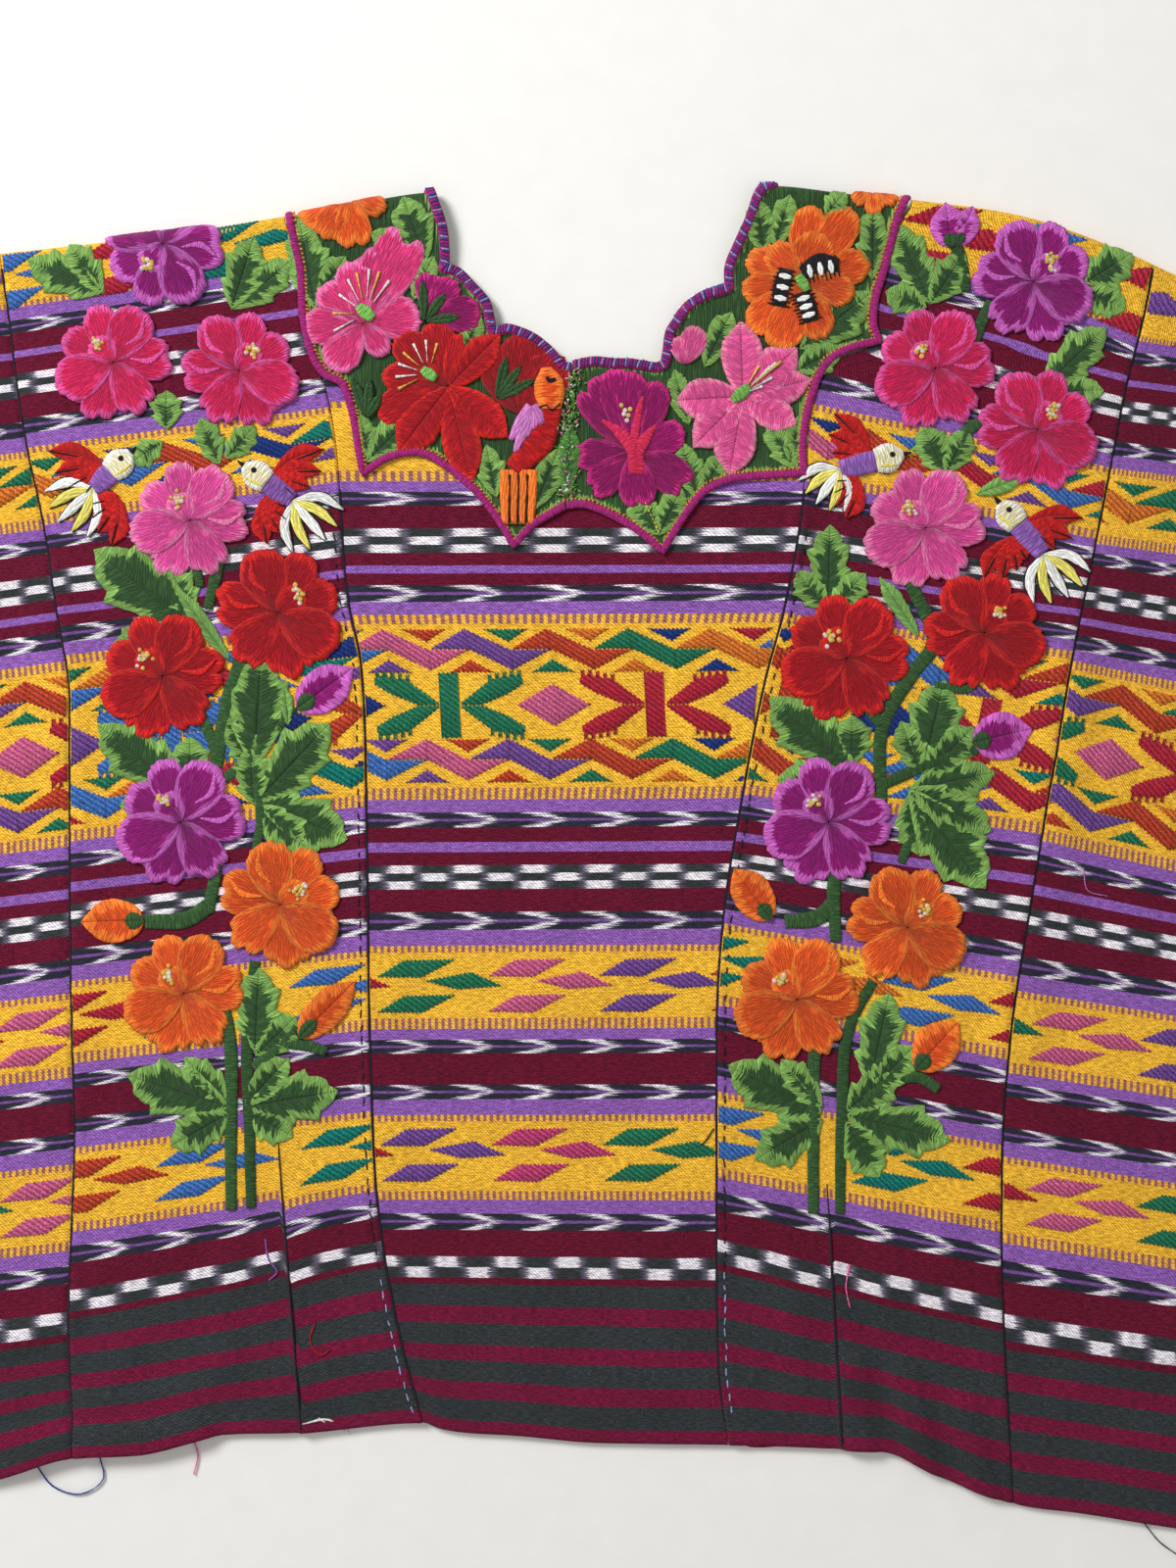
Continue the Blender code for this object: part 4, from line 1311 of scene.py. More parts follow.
def ribbon(work, line, half_widths, color, layer=0.0, thick=0.9, across_stitch=True, samples=None):
    """Stitches over a line of points; half_widths taper along it."""
    line = np.array(line, float)
    steps = distances(line)
    count = samples or max(6, int(steps[-1] / 1.6))
    at = np.linspace(0, steps[-1], count)
    middle = np.stack([soft_along(steps, line[:, 0], at), soft_along(steps, line[:, 1], at)], axis=-1)
    half = np.interp(at, np.linspace(0, steps[-1], len(half_widths)), half_widths)
    half = np.maximum(half + rng.normal(0, 0.05, count), 0.1)[:, None]
    off = np.linspace(-1, 1, 7 if max(half_widths) > 1.2 else 5)[None, :]
    x, y = spread_aside(middle, off, half)
    height = layer + 0.25 + thick * np.sqrt(np.clip(1 - off ** 2 * 0.92, 0, 1))
    stitch = (at[:, None], off * half) if across_stitch else (off * half, at[:, None])
    work.patch(x, y, height, *stitch, (1 - np.abs(off)) * half, color)


print("length of a bent line:", distances(np.array([(0, 0), (3, 4), (3, 9)]))[-1])

# %% [markdown]
# ## Roses
# Every rose follows one scheme, turned and resized: back petals first, then the
# ones that lap over them, then a small inner petal round a heart of French
# knots. The flowers' places are in pixels of a 1200 by 1600 view from straight
# above, changed to millimetres by one function.

# %% Places, turns and French knots
PIXEL = 0.49
PHOTO_CENTER_X_PX, PHOTO_ORIGIN_Y_PX = 600, 884


def px(x, y):
    """A place in the 1200 by 1600 view as millimetres on the blouse."""
    return ((x - PHOTO_CENTER_X_PX) * PIXEL, (PHOTO_ORIGIN_Y_PX - y) * PIXEL)


def turned(run, degrees):
    a = math.radians(degrees)
    return np.array([run[0] * math.cos(a) - run[1] * math.sin(a),
                     run[0] * math.sin(a) + run[1] * math.cos(a)])


def knot(knots, spot, color, radius=0.95, layer=2.0):
    """A French knot: a small bead of wound thread."""
    angle = np.linspace(0, 2 * math.pi, 9)[None, :]
    ring = np.array([0.05, 0.5, 0.85, 1.0])[:, None]
    height = layer + 0.9 * np.sqrt(np.clip(1 - ring ** 2, 0, 1))
    knots.patch(spot[0] + radius * ring * np.cos(angle), spot[1] + radius * ring * np.sin(angle),
                height, ring * 2, angle * radius, 1 - ring, color)


print("the view's middle lies at", np.round(px(600, 800), 2), "mm")

# %% One rose
ROSE_PETALS = [
    # angle, reach, spread, layer, lobes
    (152, 0.93, 58, 0.00, 0), (108, 0.98, 50, 0.10, 0), (247, 1.00, 66, 0.00, 3),
    (4, 0.98, 66, 0.12, 2), (303, 0.96, 62, 0.22, 3), (62, 1.00, 64, 0.34, 0),
    (203, 1.02, 64, 0.44, 0), (128, 0.50, 92, 0.60, 0),
]
ROSE_CURLS = [((0.30, 0.05), (0.62, 0.02), (0.86, 0.20)), ((0.22, 0.28), (0.44, 0.42), (0.52, 0.74))]
HEART = (-0.24, 0.30)
HEART_COLORS = ("knot_yellow", "knot_white", "knot_yellow")
HEART_KNOTS = 15


def rose(work, knots, place, radius, color, mirrored, turn):
    def at(u, v):
        return np.array(place) + radius * turned((-u if mirrored else u, v), turn)

    for angle, reach, spread, layer, lobes in ROSE_PETALS:
        angle = (180 - angle if mirrored else angle) + turn
        petal(work, *place, angle, reach * radius, spread, color, layer * 1.8 + 0.5, lobes,
              thick=1.25 if reach > 0.5 else 0.7)
    for curl in ROSE_CURLS:
        ribbon(work, [at(u, v) for u, v in curl], [0.4, 1.6, 0.4], color, 2.3, 0.4, samples=14)
    heart = at(*HEART)
    for index in range(HEART_KNOTS):
        spot = (heart[0] + rng.normal(0, 1.7), heart[1] + rng.normal(0, 1.9))
        size = rng.uniform(0.9, 1.3)
        knot(knots, spot, HEART_COLORS[index % 3], size, 2.6 + rng.uniform(0, 0.4))


print("petals in a rose:", len(ROSE_PETALS))

# %% All the roses
ROSES = {"left": [  # pixel x, pixel y, radius in mm, colour, mirrored, turn
    (170, 254, 31, "purple", True, 180), (118, 372, 30, "hot_pink", False, 0),
    (246, 380, 30, "hot_pink", True, 4), (196, 532, 30, "light_pink", False, -6),
    (286, 626, 33, "red", True, -8), (168, 690, 32, "red", False, 4), (187, 838, 33, "purple", False, 0),
    (288, 922, 32, "orange", True, -14), (190, 1012, 31, "orange", False, 2)
], "right": [
    (1052, 290, 31, "purple", True, -4), (952, 378, 31, "hot_pink", False, 0),
    (1056, 440, 31, "hot_pink", True, 0), (942, 540, 31, "light_pink", False, 0),
    (862, 672, 33, "red", False, -4), (1002, 646, 31, "red", True, 4), (844, 838, 33, "purple", False, -4),
    (924, 945, 31, "orange", True, -6), (812, 1018, 32, "orange", False, 0)
]}
embroidery = {}
knots = {side: Stitching("knots_" + side) for side in ROSES}
for side, plan in ROSES.items():
    work = Stitching("roses_" + side)
    for x, y, radius, color, mirrored, turn in plan:
        rose(work, knots[side], px(x, y), radius, color, mirrored, turn)
    embroidery["roses_" + side] = work.build()

# %% [markdown]
# ## Leaves, stems and buds
# Leaves are made of two or three lobes that share a base, each with a toothed
# light edge. Stems are ribbons whose stitches lie across them. Buds are blades
# with a small green cup.

# %% Places of the leaves
LEAVES = {"left": [  # base x and y, tip x and y in pixels, half width in mm
    (110, 300, 32, 270, 9), (108, 302, 74, 252, 7), (238, 318, 262, 246, 9), (240, 318, 300, 268, 8),
    (168, 452, 136, 474, 6), (172, 440, 172, 400, 7), (232, 470, 262, 436, 6), (226, 476, 206, 428, 6),
    (200, 640, 98, 562, 14), (196, 640, 112, 668, 9), (196, 632, 176, 578, 8), (262, 782, 268, 668, 13),
    (262, 784, 232, 722, 8), (262, 820, 338, 738, 12), (262, 822, 256, 762, 8), (264, 818, 356, 856, 12),
    (264, 822, 318, 868, 9), (196, 812, 102, 740, 12), (196, 816, 124, 822, 9), (196, 806, 196, 752, 9),
    (262, 1072, 266, 986, 10), (262, 1076, 304, 1036, 8), (236, 1128, 132, 1096, 12),
    (236, 1134, 176, 1168, 9), (236, 1124, 190, 1078, 7), (252, 1128, 346, 1112, 11),
    (252, 1126, 296, 1078, 8), (254, 1134, 300, 1158, 8)
], "right": [
    (948, 312, 912, 232, 9), (948, 312, 982, 262, 8), (944, 316, 902, 300, 7), (1104, 292, 1152, 262, 9),
    (1104, 300, 1146, 318, 7), (1062, 398, 1126, 336, 9), (1064, 402, 1124, 400, 7),
    (962, 484, 940, 436, 8), (964, 484, 986, 440, 7), (844, 622, 846, 536, 9), (842, 622, 812, 584, 7),
    (848, 622, 882, 586, 7), (940, 790, 962, 694, 12), (942, 792, 992, 742, 9), (938, 788, 918, 736, 7),
    (926, 806, 1014, 788, 9), (926, 806, 1004, 906, 13), (928, 804, 1010, 848, 9), (926, 810, 936, 872, 8),
    (872, 790, 784, 712, 12), (870, 792, 792, 796, 9), (868, 782, 868, 730, 9), (886, 1110, 906, 1012, 10),
    (886, 1112, 932, 1066, 8), (838, 1134, 742, 1086, 12), (838, 1140, 770, 1182, 10),
    (838, 1128, 796, 1080, 7), (862, 1136, 968, 1162, 11), (862, 1132, 914, 1094, 9),
    (862, 1142, 896, 1200, 9)
]}
LIGHT_LEAVES = {"left": [
    (236, 674, 180, 598, 4.5), (296, 740, 292, 700, 3.5)
], "right": [
    (936, 650, 896, 590, 4.5), (994, 506, 1042, 488, 4.5)
]}
LEAF_FULLER = 1.3
print("leaves:", sum(len(plan) for plan in LEAVES.values()))

# %% Places of the stems and buds
STEMS = {"left": [  # half width in mm, then points in pixels
    (3.3, (238, 1232), (237, 1150), (236, 1060), (222, 990)),
    (3.0, (258, 1230), (256, 1150), (254, 1050), (262, 980)),
    (3.6, (214, 930), (222, 880), (214, 830), (224, 770), (238, 700), (256, 656)),
    (3.4, (222, 800), (256, 776), (300, 720)), (3.0, (224, 770), (206, 726), (196, 690)),
    (3.0, (214, 622), (222, 588), (228, 560)), (2.4, (206, 600), (200, 570)),
    (2.6, (262, 870), (268, 832), (262, 800)), (4.2, (150, 940), (196, 936), (214, 924)),
    (3.2, (260, 1088), (284, 1068), (304, 1046)), (2.8, (290, 1064), (316, 1066), (334, 1072))
], "right": [
    (3.3, (829, 1236), (829, 1150), (832, 1060), (852, 990)),
    (3.0, (856, 1236), (858, 1140), (868, 1040), (890, 1000)), (3.4, (852, 960), (850, 900), (856, 860)),
    (3.6, (898, 820), (900, 740), (928, 690), (950, 660), (930, 600), (922, 580)),
    (3.4, (900, 800), (950, 778), (996, 764)), (3.2, (898, 740), (880, 716)),
    (2.6, (952, 700), (990, 700), (1000, 680)), (3.2, (982, 470), (986, 440), (1010, 430)),
    (3.0, (990, 360), (1000, 330), (1010, 310)), (3.2, (984, 300), (976, 260), (966, 240)),
    (4.2, (800, 940), (836, 934), (850, 920)), (3.0, (880, 1120), (908, 1102), (936, 1098), (956, 1110)),
    (2.6, (918, 880), (930, 850))
]}
BUDS = {"left": [  # base x and y, tip x and y in pixels, half width in mm, colour
    (304, 724, 362, 682, 11, "purple"), (150, 938, 86, 940, 11, "orange"),
    (306, 1058, 364, 1000, 9, "orange")
], "right": [
    (990, 758, 1050, 744, 12, "purple"), (786, 938, 748, 886, 10, "orange"),
    (932, 1090, 976, 1042, 11, "orange"), (968, 256, 962, 212, 9, "purple"),
    (974, 254, 990, 216, 7, "purple")
]}
CUP_AT = 0.32
print("stems:", sum(len(plan) for plan in STEMS.values()), "buds:", sum(len(plan) for plan in BUDS.values()))

# %% Stitch the leaves, stems and buds
for side in LEAVES:
    greens = Stitching("leaves_" + side)
    for half_width, *line in STEMS[side]:
        ribbon(greens, [px(*p) for p in line], [half_width * 0.8, half_width, half_width * 0.9],
               "stem", 0.1, 1.0)
    for index, (x0, y0, x1, y1, half_width) in enumerate(LEAVES[side]):
        blade(greens, px(x0, y0), px(x1, y1), half_width * LEAF_FULLER, "leaf", 0.2 + 0.1 * (index % 3),
              teeth=3, thick=0.8)
    for x0, y0, x1, y1, half_width in LIGHT_LEAVES[side]:
        blade(greens, px(x0, y0), px(x1, y1), half_width, "light_leaf", 0.4)
    for x0, y0, x1, y1, half_width, color in BUDS[side]:
        base, tip = np.array(px(x0, y0)), np.array(px(x1, y1))
        blade(greens, base, tip, half_width, color, 0.4, fullness=0.62, thick=1.3, blunt=True)
        blade(greens, base, base * (1 - CUP_AT) + tip * CUP_AT, half_width * 0.4, "stem", 1.4)
    embroidery["leaves_" + side] = greens.build()

# %% [markdown]
# ## Birds
# Two small birds sit on each side. A bird is a wound body, a head with an eye
# and a beak, two red wings with dark quill lines and a fanned tail. All are
# ribbons and blades, placed from the head, the body and the tail.

# %% Feathers and wings
WING_FEATHERS = ((-62, 0.5), (-40, 0.66), (-20, 0.84), (0, 1.0))  # turn and share of the length


def feather(work, base, tip, half_width, color, layer, bend=0.0):
    """One tail feather with a black outline under it."""
    line = [base, (base + tip) / 2 + aside_of(tip - base) * bend, tip]
    ribbon(work, line, [0.7, half_width + 0.5, half_width + 0.7, 0.8], "black", layer, 0.4)
    ribbon(work, line, [0.4, half_width - 0.1, half_width, 0.4], color, layer + 0.45, 0.8, False)


def wing(work, base, tip, flip):
    """Swept feathers that share a shoulder, the longest last, with dark lines between."""
    for turn, share in WING_FEATHERS:
        run = share * turned(tip - base, turn * flip)
        blade(work, base, base + run, 5.4, "wing_red", 0.4 + 0.1 * share, thick=0.9, bend=0.1 * flip)
        middle = base + run * 0.55 + aside_of(run) * 0.06 * flip
        ribbon(work, [middle, base + run], [0.15, 0.4, 0.2], "black", 1.7, 0.2)


print("feathers in a wing:", len(WING_FEATHERS))

# %% A whole bird
TAIL_TURNS = (-40, -20, 0, 20, 40)


def head_and_beak(work, head, look):
    back, front = head - look * 8.0, head + look * 6.0
    ribbon(work, [back, head - look * 2.0, head + look * 4.0, front], [5.8, 7.4, 6.8, 2.2], "head", 1.2, 1.2)
    ribbon(work, [head + look * 5.0, head + look * 10.0], [1.7, 0.3], "black", 1.6, 0.6)
    above = -aside_of(look) * (1 if look[0] > 0 else -1)
    collar = [head - look * 7.5 + above * 3, head + look * 2 + above * 4.6]
    ribbon(work, collar, [0.5, 1.1, 0.5], "tail_yellow", 2.0, 0.5)
    knot(work, head + look * 0.6 - above * 1.0, "black", 1.5, 2.6)


def bird(work, places, flip):
    head, body_end, tail_end, wing_a, tip_a, wing_b, tip_b = [np.array(px(*p)) for p in places]
    for index, turn in enumerate(TAIL_TURNS):
        tip = body_end + 1.12 * turned(tail_end - body_end, turn)
        feather(work, body_end, tip, 2.4, ("tail_white", "tail_yellow")[index % 2], 0.3, 0.004 * turn)
    wing(work, wing_a, tip_a, flip)
    wing(work, wing_b, tip_b, -flip)
    ribbon(work, [head + (body_end - head) * 0.3, body_end], [5.2, 5.8, 4.0], "body_purple", 0.9, 1.1)
    head_and_beak(work, head, (head - body_end) / np.hypot(*(head - body_end)))


BIRDS = {"left": [  # head, body end, tail end, upper wing base and tip, lower wing base and tip
    ((127, 472), (98, 500), (66, 530), (114, 482), (52, 462), (122, 506), (116, 558)),
    ((261, 484), (300, 512), (330, 548), (276, 490), (332, 460), (272, 508), (274, 556))
], "right": [
    ((908, 468), (856, 480), (834, 512), (888, 472), (850, 424), (874, 488), (862, 530)),
    ((1026, 524), (1062, 566), (1084, 606), (1038, 538), (1102, 530), (1034, 548), (1002, 590))
]}
for side, plan in BIRDS.items():
    flock = Stitching("birds_" + side)
    for places, flip in zip(plan, (-1, 1)):
        bird(flock, places, flip)
    embroidery["birds_" + side] = flock.build()
for side in knots:
    embroidery["knots_" + side] = knots[side].build()

# %% [markdown]
# ## The yoke's ground
# The yoke is stitched solid, in two halves with scalloped edges. Its ground is
# built between two curved edges, the neck's and the outer one, which run smooth
# but for the points between two scallops. It goes over the shoulder like the
# panels do and lies just over the centre cloth.

# %% The scalloped edges
YOKE_STATIONS = {"left": [  # neck x, neck y, outer x, outer y, from the shoulder to the centre seam
    (-78, 336, -149, 324), (-75, 329, -146, 311), (-71, 318, -143, 296), (-70, 304, -142, 275),
    (-71, 299, -138, 257), (-64, 297, -132, 246), (-57, 290, -122, 240), (-50, 282, -117, 225),
    (-48, 274, -114, 207), (-47, 268, -112, 196), (-43, 268, -99, 204), (-39, 269, -83, 206),
    (-32, 267, -67, 197), (-26, 264, -54, 185), (-21, 260, -44, 172), (-17, 256, -37, 160),
    (-13, 251, -28, 170), (-10, 250, -20, 175), (-8, 250, -11.3, 180)
], "right": [
    (92, 339, 159, 332), (84, 334, 154, 322), (79, 322, 150, 308), (73, 309, 147, 296), (69, 299, 143, 283),
    (69, 289, 142, 270), (65, 287, 145, 262), (60, 286, 130, 258), (55, 284, 119, 251), (50, 281, 112, 237),
    (46, 277, 107, 214), (43, 272, 107, 196), (40, 267, 91, 195), (39, 259, 71, 193), (38, 252, 58, 187),
    (34, 250, 48, 175), (27, 251, 37, 157), (20, 252, 27, 166), (13, 252, 16, 173), (3, 253, 0, 180),
    (-7.4, 251, -10.7, 180)
]}
NECK_POINTS = {"left": [4, 9], "right": [5, 14]}
OUTER_POINTS = {"left": [9, 15], "right": [6, 11, 16]}
ROWS_PER_STATION = 6


def scalloped(points, corners, count):
    """A curve through points that is smooth except at its corners."""
    at = np.linspace(0, len(points) - 1, count)
    result = np.empty((count, 2))
    breaks = [0] + corners + [len(points) - 1]
    for low, high in zip(breaks, breaks[1:]):
        inside = (at >= low) & (at <= high)
        steps = np.arange(low, high + 1, dtype=float)
        for axis in (0, 1):
            result[inside, axis] = soft_along(steps, points[low:high + 1, axis], at[inside])
    return result


def yoke_edges(side):
    stations = np.array(YOKE_STATIONS[side], float)
    count = (len(stations) - 1) * ROWS_PER_STATION + 1
    return (scalloped(stations[:, :2], NECK_POINTS[side], count),
            scalloped(stations[:, 2:], OUTER_POINTS[side], count))


for side in YOKE_STATIONS:
    print(side, "yoke edge:", round(float(distances(yoke_edges(side)[1])[-1])), "mm")

# %% The two halves between their edges
YOKE_COLUMNS, YOKE_TURNS = 26, (0.3, 0.65, 1.0)
FRONT_SKIN, FOLD_SKIN = 0.6, 1.0
LEVELLED_OVER = 20


def yoke_along(x, y):
    """Bring the last rows of the yoke up to the middle of the shoulder fold."""
    return y + FOLD_AT * ease((y - shoulder(x) + LEVELLED_OVER) / LEVELLED_OVER)


def yoke_skins(neck, outer):
    """Outer and inner points from the back, over the fold, to the front's last station."""
    share = np.linspace(0, 1, YOKE_COLUMNS)[None, :, None]
    flat = neck[:, None, :] + (outer - neck)[:, None, :] * share
    x, y = flat[..., 0], flat[..., 1]
    along = yoke_along(x, y)
    front = drape(x, along, yoke_top)
    inside = wall_point_below(front, x, along, FRONT_SKIN)
    further = [along[0] + turn * FOLD_RADIUS * math.pi / 2 for turn in YOKE_TURNS]
    over = [drape(x[0], a, yoke_top) for a in further]
    over_inside = [wall_point_below(p, x[0], a, FOLD_SKIN) for p, a in zip(over, further)]
    back = np.stack([x, np.minimum(y, shoulder(x) - FOLD_RADIUS), 0 * x], axis=-1)[2:]
    return (np.concatenate([front[::-1], over, back]),
            np.concatenate([inside[::-1], over_inside, back + [0, 0, BACK_WALL]]))


def yoke_ground(side):
    neck, outer = yoke_edges(side)
    skin, inside = yoke_skins(neck, outer)
    if side == "right":
        skin, inside = skin[:, ::-1], inside[:, ::-1]
    skin, inside = skin[:, ::-1], inside[:, ::-1]
    obj, faces = closed_wall("yoke_ground_" + side, skin, inside)
    width = np.hypot(*(outer - neck).T)
    count = len(neck)
    row_at = np.concatenate([np.arange(count)[::-1], [0] * len(YOKE_TURNS), np.arange(2, count)])
    from_edge = np.minimum(np.linspace(0, 1, YOKE_COLUMNS), np.linspace(1, 0, YOKE_COLUMNS))
    edge = from_edge * width[row_at][:, None] / 10
    stitch = np.stack([skin[..., 0], skin[..., 1] * 0.4 + np.arange(len(skin))[:, None] * 0.2], axis=-1) / 10
    corner = faces.ravel() % edge.size
    add_uv(obj, "stitch", stitch.reshape(-1, 2)[corner])
    add_uv(obj, "edge", np.stack([edge.ravel()[corner], np.full(corner.size, 0.5)], axis=-1))
    obj.data.materials.append(satins["leaf"])
    return obj


for side in YOKE_STATIONS:
    pieces["yoke_" + side] = yoke_ground(side)

# %% [markdown]
# ## Flowers of the yoke
# The yoke carries larger flowers than the strips: poppies, a lily, a star, an
# orchid and a perched bird. They use the same petals and blades. The places were
# read in an enlarged view of each half.

# %% Ways to sew in the enlarged view
NEAR_ZOOM = 3.92
NEAR_START = {"left": (280, 180), "right": (560, 180)}
TOOTHED_FROM = 6


class YokeFlowers(Stitching):
    """The flowers of one half, all in the units of its enlarged view."""

    def __init__(self, side):
        super().__init__("yoke_flowers_" + side, yoke_top)
        self.start = NEAR_START[side]

    def near(self, x, y):
        return px(self.start[0] + x / NEAR_ZOOM, self.start[1] + y / NEAR_ZOOM)

    def leaves(self, plan, color="leaf"):
        """Single leaves: base x and y, tip x and y, half width in mm."""
        for x0, y0, x1, y1, half_width in plan:
            blade(self, self.near(x0, y0), self.near(x1, y1), half_width, color, 0.1,
                  teeth=2 if half_width > TOOTHED_FROM else 0)

    def fan(self, heart, plan, color, layer=0.0, thick=1.3):
        """Petals round a heart: tip x and y, spread, lobes."""
        x, y = self.near(*heart)
        for index, (tip_x, tip_y, spread, lobes) in enumerate(plan):
            tip = self.near(tip_x, tip_y)
            angle = math.degrees(math.atan2(tip[1] - y, tip[0] - x))
            reach = math.hypot(tip[0] - x, tip[1] - y)
            petal(self, x, y, angle, reach, spread, color, layer + 0.1 * index, lobes, thick)

    def pointed(self, heart, tips, color, layer):
        """Pointed petals from one heart: tip x and y, half width in mm."""
        for x, y, half_width in tips:
            blade(self, self.near(*heart), self.near(x, y), half_width, color, layer, fullness=0.9)

    def line(self, places, half_widths, color, layer, thick, across_stitch=True):
        ribbon(self, [self.near(*p) for p in places], half_widths, color, layer, thick, across_stitch)

    def stamens(self, root, tips):
        """Fine loose stitches from near the heart outward, white and yellow by turns."""
        root = np.array(self.near(*root))
        for index, tip in enumerate(tips):
            tip = np.array(self.near(*tip))
            color = "tail_white" if index % 3 else "knot_yellow"
            ribbon(self, [root + (tip - root) * 0.35, tip], [0.15, 0.3, 0.7], color, 2.2, 0.6, samples=8)


left = YokeFlowers("left")
print("the left view's corner lies at", np.round(left.near(0, 0), 1), "mm")

# %% Left half: leaves, and the flowers that lie behind
left.leaves([(170, 540, 110, 190, 12), (175, 500, 290, 330, 9), (610, 350, 520, 100, 12),
             (600, 340, 390, 240, 9), (370, 1150, 610, 915, 10), (380, 1130, 350, 960, 7),
             (890, 1290, 850, 1080, 8), (1040, 1340, 1140, 1090, 9), (740, 760, 830, 560, 6),
             (560, 500, 640, 330, 8)])
left.fan((300, 90), [(110, 190, 60, 0), (330, 300, 62, 2), (200, 260, 60, 0), (450, 150, 50, 0)], "orange")
left.fan((620, 560), [(610, 390, 50, 0), (720, 420, 60, 0), (830, 560, 60, 0)], "orchid")
left.fan((980, 960), [(890, 690, 60, 0), (1010, 640, 60, 0), (1140, 720, 60, 0)], "dark_red")
SEPALS = [(600, 590, 598, 425), (610, 585, 690, 480), (610, 590, 745, 572), (370, 970, 318, 815),
          (372, 965, 388, 820), (376, 975, 432, 880), (890, 895, 932, 728), (894, 895, 990, 768),
          (896, 900, 1045, 820)]
for x0, y0, x1, y1 in SEPALS:
    blade(left, left.near(x0, y0), left.near(x1, y1), 2.6, "stem", 1.3)
print("points so far:", left.count)

# %% Left half: the poppy and the lily
left.fan((360, 600), [(590, 560, 62, 0), (545, 235, 44, 2), (440, 300, 50, 0), (310, 350, 52, 0),
                      (190, 450, 52, 0), (120, 610, 56, 0), (230, 780, 58, 0), (450, 720, 62, 0)],
         "poppy_pink", 0.1)
left.stamens((370, 560), [(335, 400), (300, 425), (265, 485), (240, 560), (245, 630), (385, 385),
                          (425, 395), (465, 430)])
left.line([(340, 530), (400, 580)], [2.0, 3.6, 2.0], "fresh_green", 1.7, 0.8)
left.fan((690, 850), [(420, 960, 44, 0), (440, 800, 44, 0), (500, 640, 46, 0), (640, 590, 46, 0),
                      (735, 640, 30, 0)], "lily_red", 0.2)
left.pointed((700, 850), [(905, 640, 9), (935, 1050, 10), (790, 1235, 10), (500, 1110, 11)],
             "lily_red", 0.9)
left.stamens((620, 800), [(500, 860), (490, 812), (500, 760), (520, 715), (560, 680), (610, 665),
                          (655, 680)])
left.line([(595, 780), (650, 820)], [1.8, 3.0, 1.8], "fresh_green", 2.0, 0.8)
print("points so far:", left.count)

# %% Left half: the perched bird
for shift in range(4):
    quill = [(925 + shift * 36, 1180), (925 + shift * 33, 1395)]
    left.line(quill, [2.5, 2.6, 1.8], "orange", 1.0, 1.0, False)
    if shift:
        gap = [(908 + shift * 35, 1200), (908 + shift * 34, 1390)]
        left.line(gap, [0.5, 0.2, 0.55, 0.15, 0.5], "black", 2.2, 0.25)
left.line([(1110, 920), (1060, 1060), (955, 1180)], [5.4, 8.0, 4.6], "wing_red", 1.0, 1.3)
for tip in ((945, 1060), (965, 1110), (985, 1060), (1010, 1050), (1040, 1020), (1075, 1000)):
    left.line([(1030, 930), tip], [3.0, 3.4, 1.0], "wing_lilac", 2.0, 0.8, False)
left.line([(1088, 775), (1100, 850), (1105, 940)], [2.6, 7.4, 7.6, 5.2], "orange", 1.6, 1.3)
left.line([(1050, 835), (1005, 850)], [1.4, 0.4], "black", 1.4, 0.6)
knot(left, left.near(1100, 828), "black", 1.4, 2.6)
left.line([(1060, 935), (1090, 925), (1105, 945), (1145, 920)], [0.4], "black", 2.8, 0.3)
left.line([(1090, 815), (1102, 828), (1125, 822)], [0.8, 1.2, 0.8], "black", 3.0, 0.3)
embroidery["yoke_flowers_left"] = left.build()

# %% Right half: leaves, and the flowers that lie behind
right = YokeFlowers("right")
right.leaves([(860, 320, 830, 110, 9), (900, 300, 960, 90, 8), (1290, 420, 1290, 130, 9),
              (1100, 170, 1180, 80, 7), (1000, 700, 1290, 470, 13), (980, 790, 1170, 690, 9),
              (990, 1180, 870, 990, 8), (960, 1170, 1000, 960, 7), (600, 1300, 530, 1070, 8),
              (610, 1270, 700, 1120, 8), (440, 1440, 330, 1290, 9), (440, 1440, 530, 1250, 9),
              (620, 770, 730, 550, 9), (560, 1000, 500, 780, 7)])
right.leaves([(70, 1290, 90, 1000, 6)], "moss")
right.fan((1290, 60), [(1210, 120, 60, 0), (1290, 170, 60, 0), (1380, 120, 60, 0)], "orange")
right.fan((540, 760), [(600, 610, 60, 0), (510, 650, 60, 0)], "star_pink")
print("points so far:", right.count)

# %% Right half: the orchid and the star
right.fan((340, 1110), [(110, 1130, 50, 2), (170, 1270, 52, 2), (560, 1240, 54, 2), (540, 1020, 50, 0),
                        (150, 830, 44, 2), (250, 780, 40, 0), (330, 790, 36, 0), (440, 830, 40, 0),
                        (360, 1330, 60, 2)], "orchid", 0.1)
ORCHID_VEINS = [(4.2, (350, 1200), (345, 1110), (340, 1040)), (3.0, (345, 1120), (290, 1040), (215, 985)),
                (3.0, (350, 1120), (390, 1050), (425, 1005)), (2.2, (340, 1060), (360, 940), (375, 890))]
for half_width, *places in ORCHID_VEINS:
    right.line(places, [half_width, half_width, 0.8], "orchid_heart", 1.9, 0.8)
for index, spot in enumerate([(290, 925), (305, 945), (318, 965), (300, 960), (325, 940), (312, 985)]):
    knot(right, right.near(*spot), ("knot_yellow", "knot_white")[index % 2], 1.2, 2.4)
right.pointed((775, 890), [(765, 590, 11), (990, 695, 11), (1048, 820, 9), (985, 1000, 9),
                           (720, 1205, 11), (575, 1090, 10), (505, 905, 11)], "star_pink", 0.7)
right.stamens((770, 880), [(835, 770), (880, 770), (905, 755), (925, 750), (890, 815), (850, 850),
                           (870, 790)])
right.line([(730, 905), (800, 850)], [1.8, 3.4, 2.0], "fresh_green", 2.0, 0.8)
print("points so far:", right.count)

